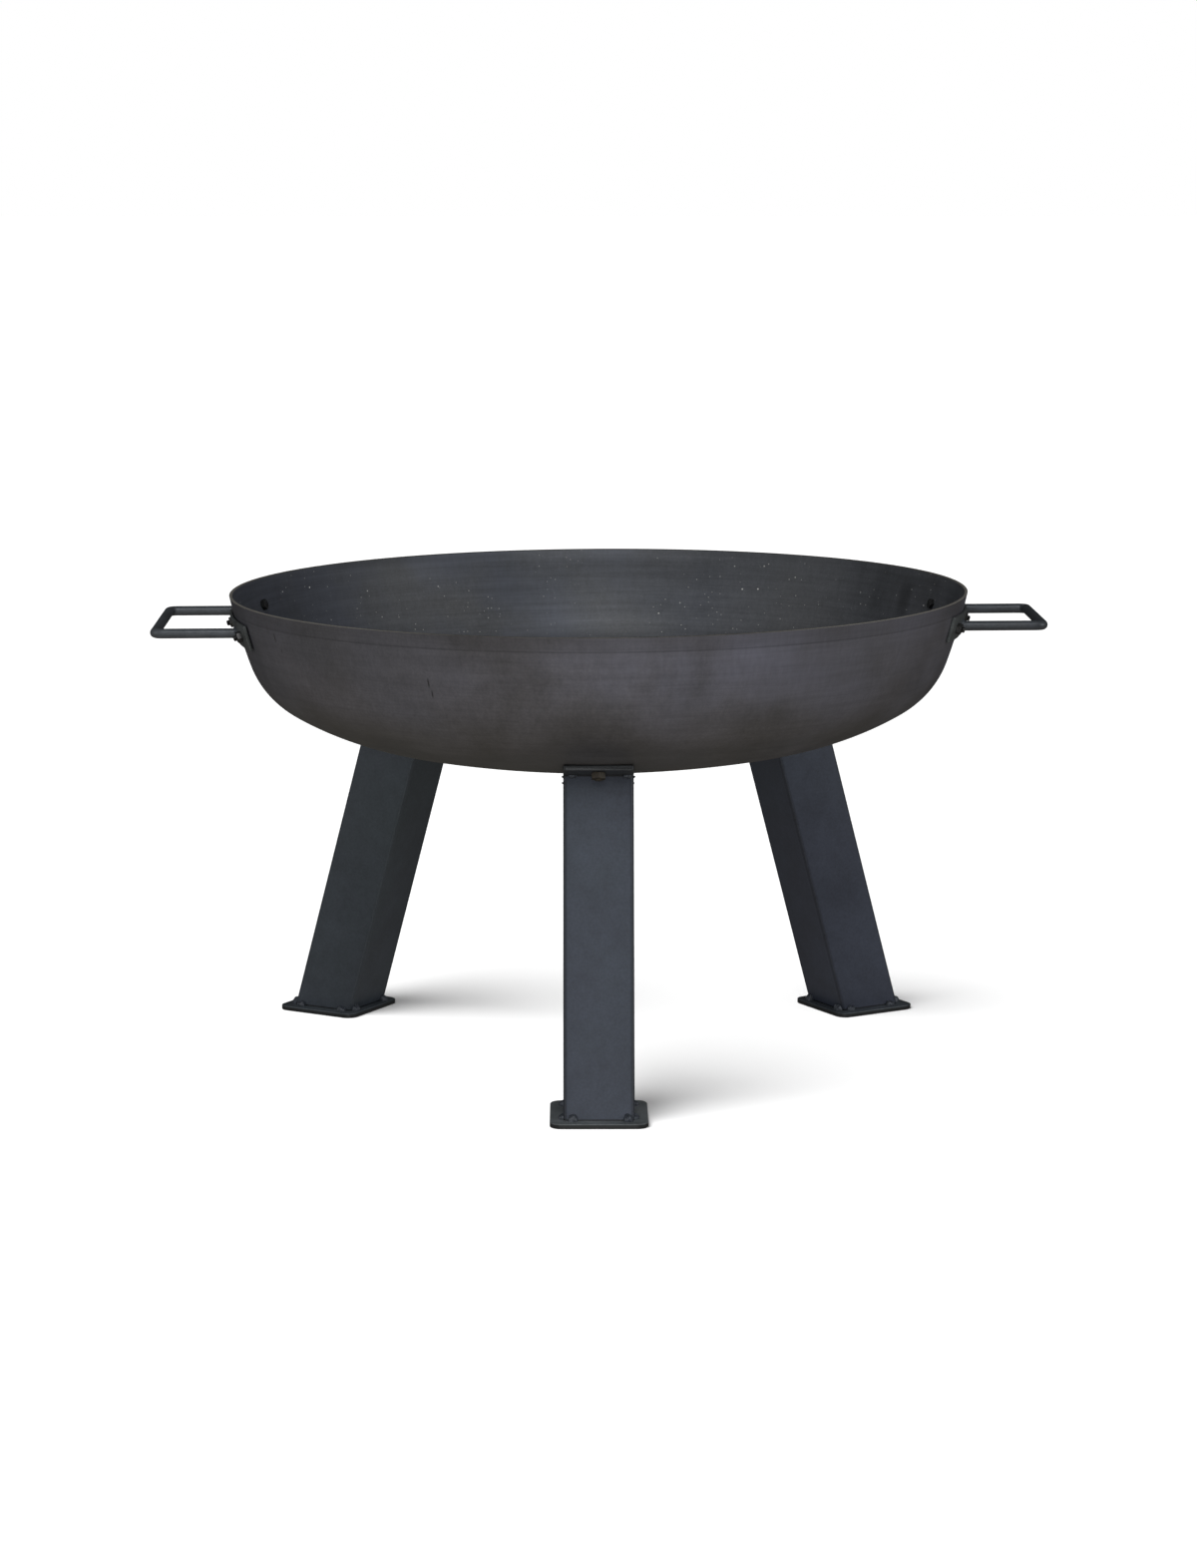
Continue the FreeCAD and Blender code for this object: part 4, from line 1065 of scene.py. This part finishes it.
# Name, place, size and power.
OBJECT_LIGHTS = (
    ("FrontHigh", (0.0, -3.0, 3.5), 2.5, 69.0),
    ("FrontLow", (0.0, -3.5, 0.05), 2.0, 22.0),
    ("LeftSide", (-4.0, -1.5, 1.5), 2.5, 32.0),
    ("RightSide", (4.0, -1.5, 1.5), 2.5, 48.5),
)


def emissive(name, color):
    material = bpy.data.materials.new(name)
    material.use_nodes = True
    tree = material.node_tree
    tree.nodes.clear()
    output = tree.nodes.new("ShaderNodeOutputMaterial")
    glow = tree.nodes.new("ShaderNodeEmission")
    glow.inputs["Color"].default_value = (*color, 1.0)
    tree.links.new(glow.outputs["Emission"], output.inputs["Surface"])
    return material


def camera_only(thing):
    """Keep a stage object from lighting, shading, or showing in, the object."""
    thing.visible_diffuse = False
    thing.visible_glossy = False
    thing.visible_transmission = False
    thing.visible_volume_scatter = False
    thing.visible_shadow = False


def add_floor():
    bpy.ops.mesh.primitive_plane_add(size=FLOOR_SIZE)
    floor = bpy.context.active_object
    floor.name = "Floor"
    material, _, surface = new_material("floor_paper")
    surface.inputs["Base Color"].default_value = (0.9, 0.9, 0.9, 1.0)
    surface.inputs["Roughness"].default_value = 1.0
    surface.inputs["Specular IOR Level"].default_value = 0.0
    floor.data.materials.append(material)
    camera_only(floor)
    floor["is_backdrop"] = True
    return floor


def add_backdrop():
    """A white dome that only the camera sees."""
    bpy.ops.mesh.primitive_uv_sphere_add(radius=BACKDROP_RADIUS, segments=48, ring_count=24)
    dome = bpy.context.active_object
    dome.name = "Backdrop"
    dome.data.materials.append(emissive("backdrop_white", (1.0, 1.0, 1.0)))
    camera_only(dome)
    dome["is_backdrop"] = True


def add_world():
    """Soft light from above and round about, little from below."""
    world = bpy.data.worlds.new("Studio")
    bpy.context.scene.world = world
    world.use_nodes = True
    tree = world.node_tree
    tree.nodes.clear()
    output = tree.nodes.new("ShaderNodeOutputWorld")
    background = tree.nodes.new("ShaderNodeBackground")
    source = tree.nodes.new("ShaderNodeTexCoord")
    split = tree.nodes.new("ShaderNodeSeparateXYZ")
    tree.links.new(source.outputs["Generated"], split.inputs["Vector"])
    above = remap(tree, split.outputs["Z"], -0.2, 0.5, 0.0, SKY_STRENGTH)
    below = remap(tree, split.outputs["Z"], 0.2, -0.5, 0.0, GROUND_STRENGTH)
    behind = remap(tree, split.outputs["Y"], 0.1, 0.8, 1.0, 0.15)
    total = combine(tree, "MULTIPLY", combine(tree, "ADD", above, below), behind)
    tree.links.new(total, background.inputs["Strength"])
    downward = remap(tree, split.outputs["Z"], 0.1, -0.4)
    color = blend_color(tree, downward, (1.0, 1.0, 1.0), GROUND_COLOR)
    tree.links.new(color, background.inputs["Color"])
    tree.links.new(background.outputs["Background"], output.inputs["Surface"])


def add_light(kind, name, position, target, size, power):
    """A soft disk light with a size in metres, or a sun with a size in degrees."""
    data = bpy.data.lights.new(name, kind)
    if kind == "SUN":
        data.angle = math.radians(size)
    else:
        data.shape = "DISK"
        data.size = size
    data.energy = power
    light = bpy.data.objects.new(name, data)
    bpy.context.scene.collection.objects.link(light)
    light.location = position
    aim = Vector(target) - Vector(position)
    light.rotation_euler = aim.to_track_quat("-Z", "Y").to_euler()
    return light


def link_light(light, receivers, blockers=()):
    """Let a light fall on some objects only, and be shaded by some objects only."""
    lit = bpy.data.collections.new(light.name + "_lit")
    for thing in receivers:
        lit.objects.link(thing)
    light.light_linking.receiver_collection = lit
    if blockers:
        shading = bpy.data.collections.new(light.name + "_shading")
        for thing in blockers:
            shading.objects.link(thing)
        light.light_linking.blocker_collection = shading


def add_studio():
    """The floor has lights of its own, so that it stays white but for the legs' soft shadows."""
    floor = add_floor()
    add_backdrop()
    add_world()
    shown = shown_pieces()
    leg_pieces = [piece for piece in shown if piece.name.startswith("look_leg")]
    key = add_light("SUN", "FloorKey", FLOOR_KEY_FROM, (0, 0, 0), *FLOOR_KEY)
    link_light(key, [floor], leg_pieces)
    fill = add_light("SUN", "FloorFill", (0, 0, 3), (0, 0, 0), *FLOOR_FILL)
    link_light(fill, [floor], [floor])
    for name, position, size, power in OBJECT_LIGHTS:
        light = add_light("AREA", name, position, OBJECT_TARGET, size, power)
        link_light(light, shown)


def add_camera():
    data = bpy.data.cameras.new("Camera")
    data.lens = CAMERA_LENS
    data.sensor_width = CAMERA_SENSOR
    data.clip_end = 200.0
    camera = bpy.data.objects.new("Camera", data)
    bpy.context.scene.collection.objects.link(camera)
    camera.location = CAMERA_SPOT
    camera.rotation_euler = (math.radians(CAMERA_PITCH), 0, math.radians(CAMERA_YAW))
    bpy.context.scene.camera = camera


add_bowl()
for handle_side in HANDLES:
    add_handle(handle_side)
for leg_name in LEGS:
    add_leg(leg_name)
add_studio()
add_camera()
bpy.context.scene.view_settings.view_transform = "Standard"
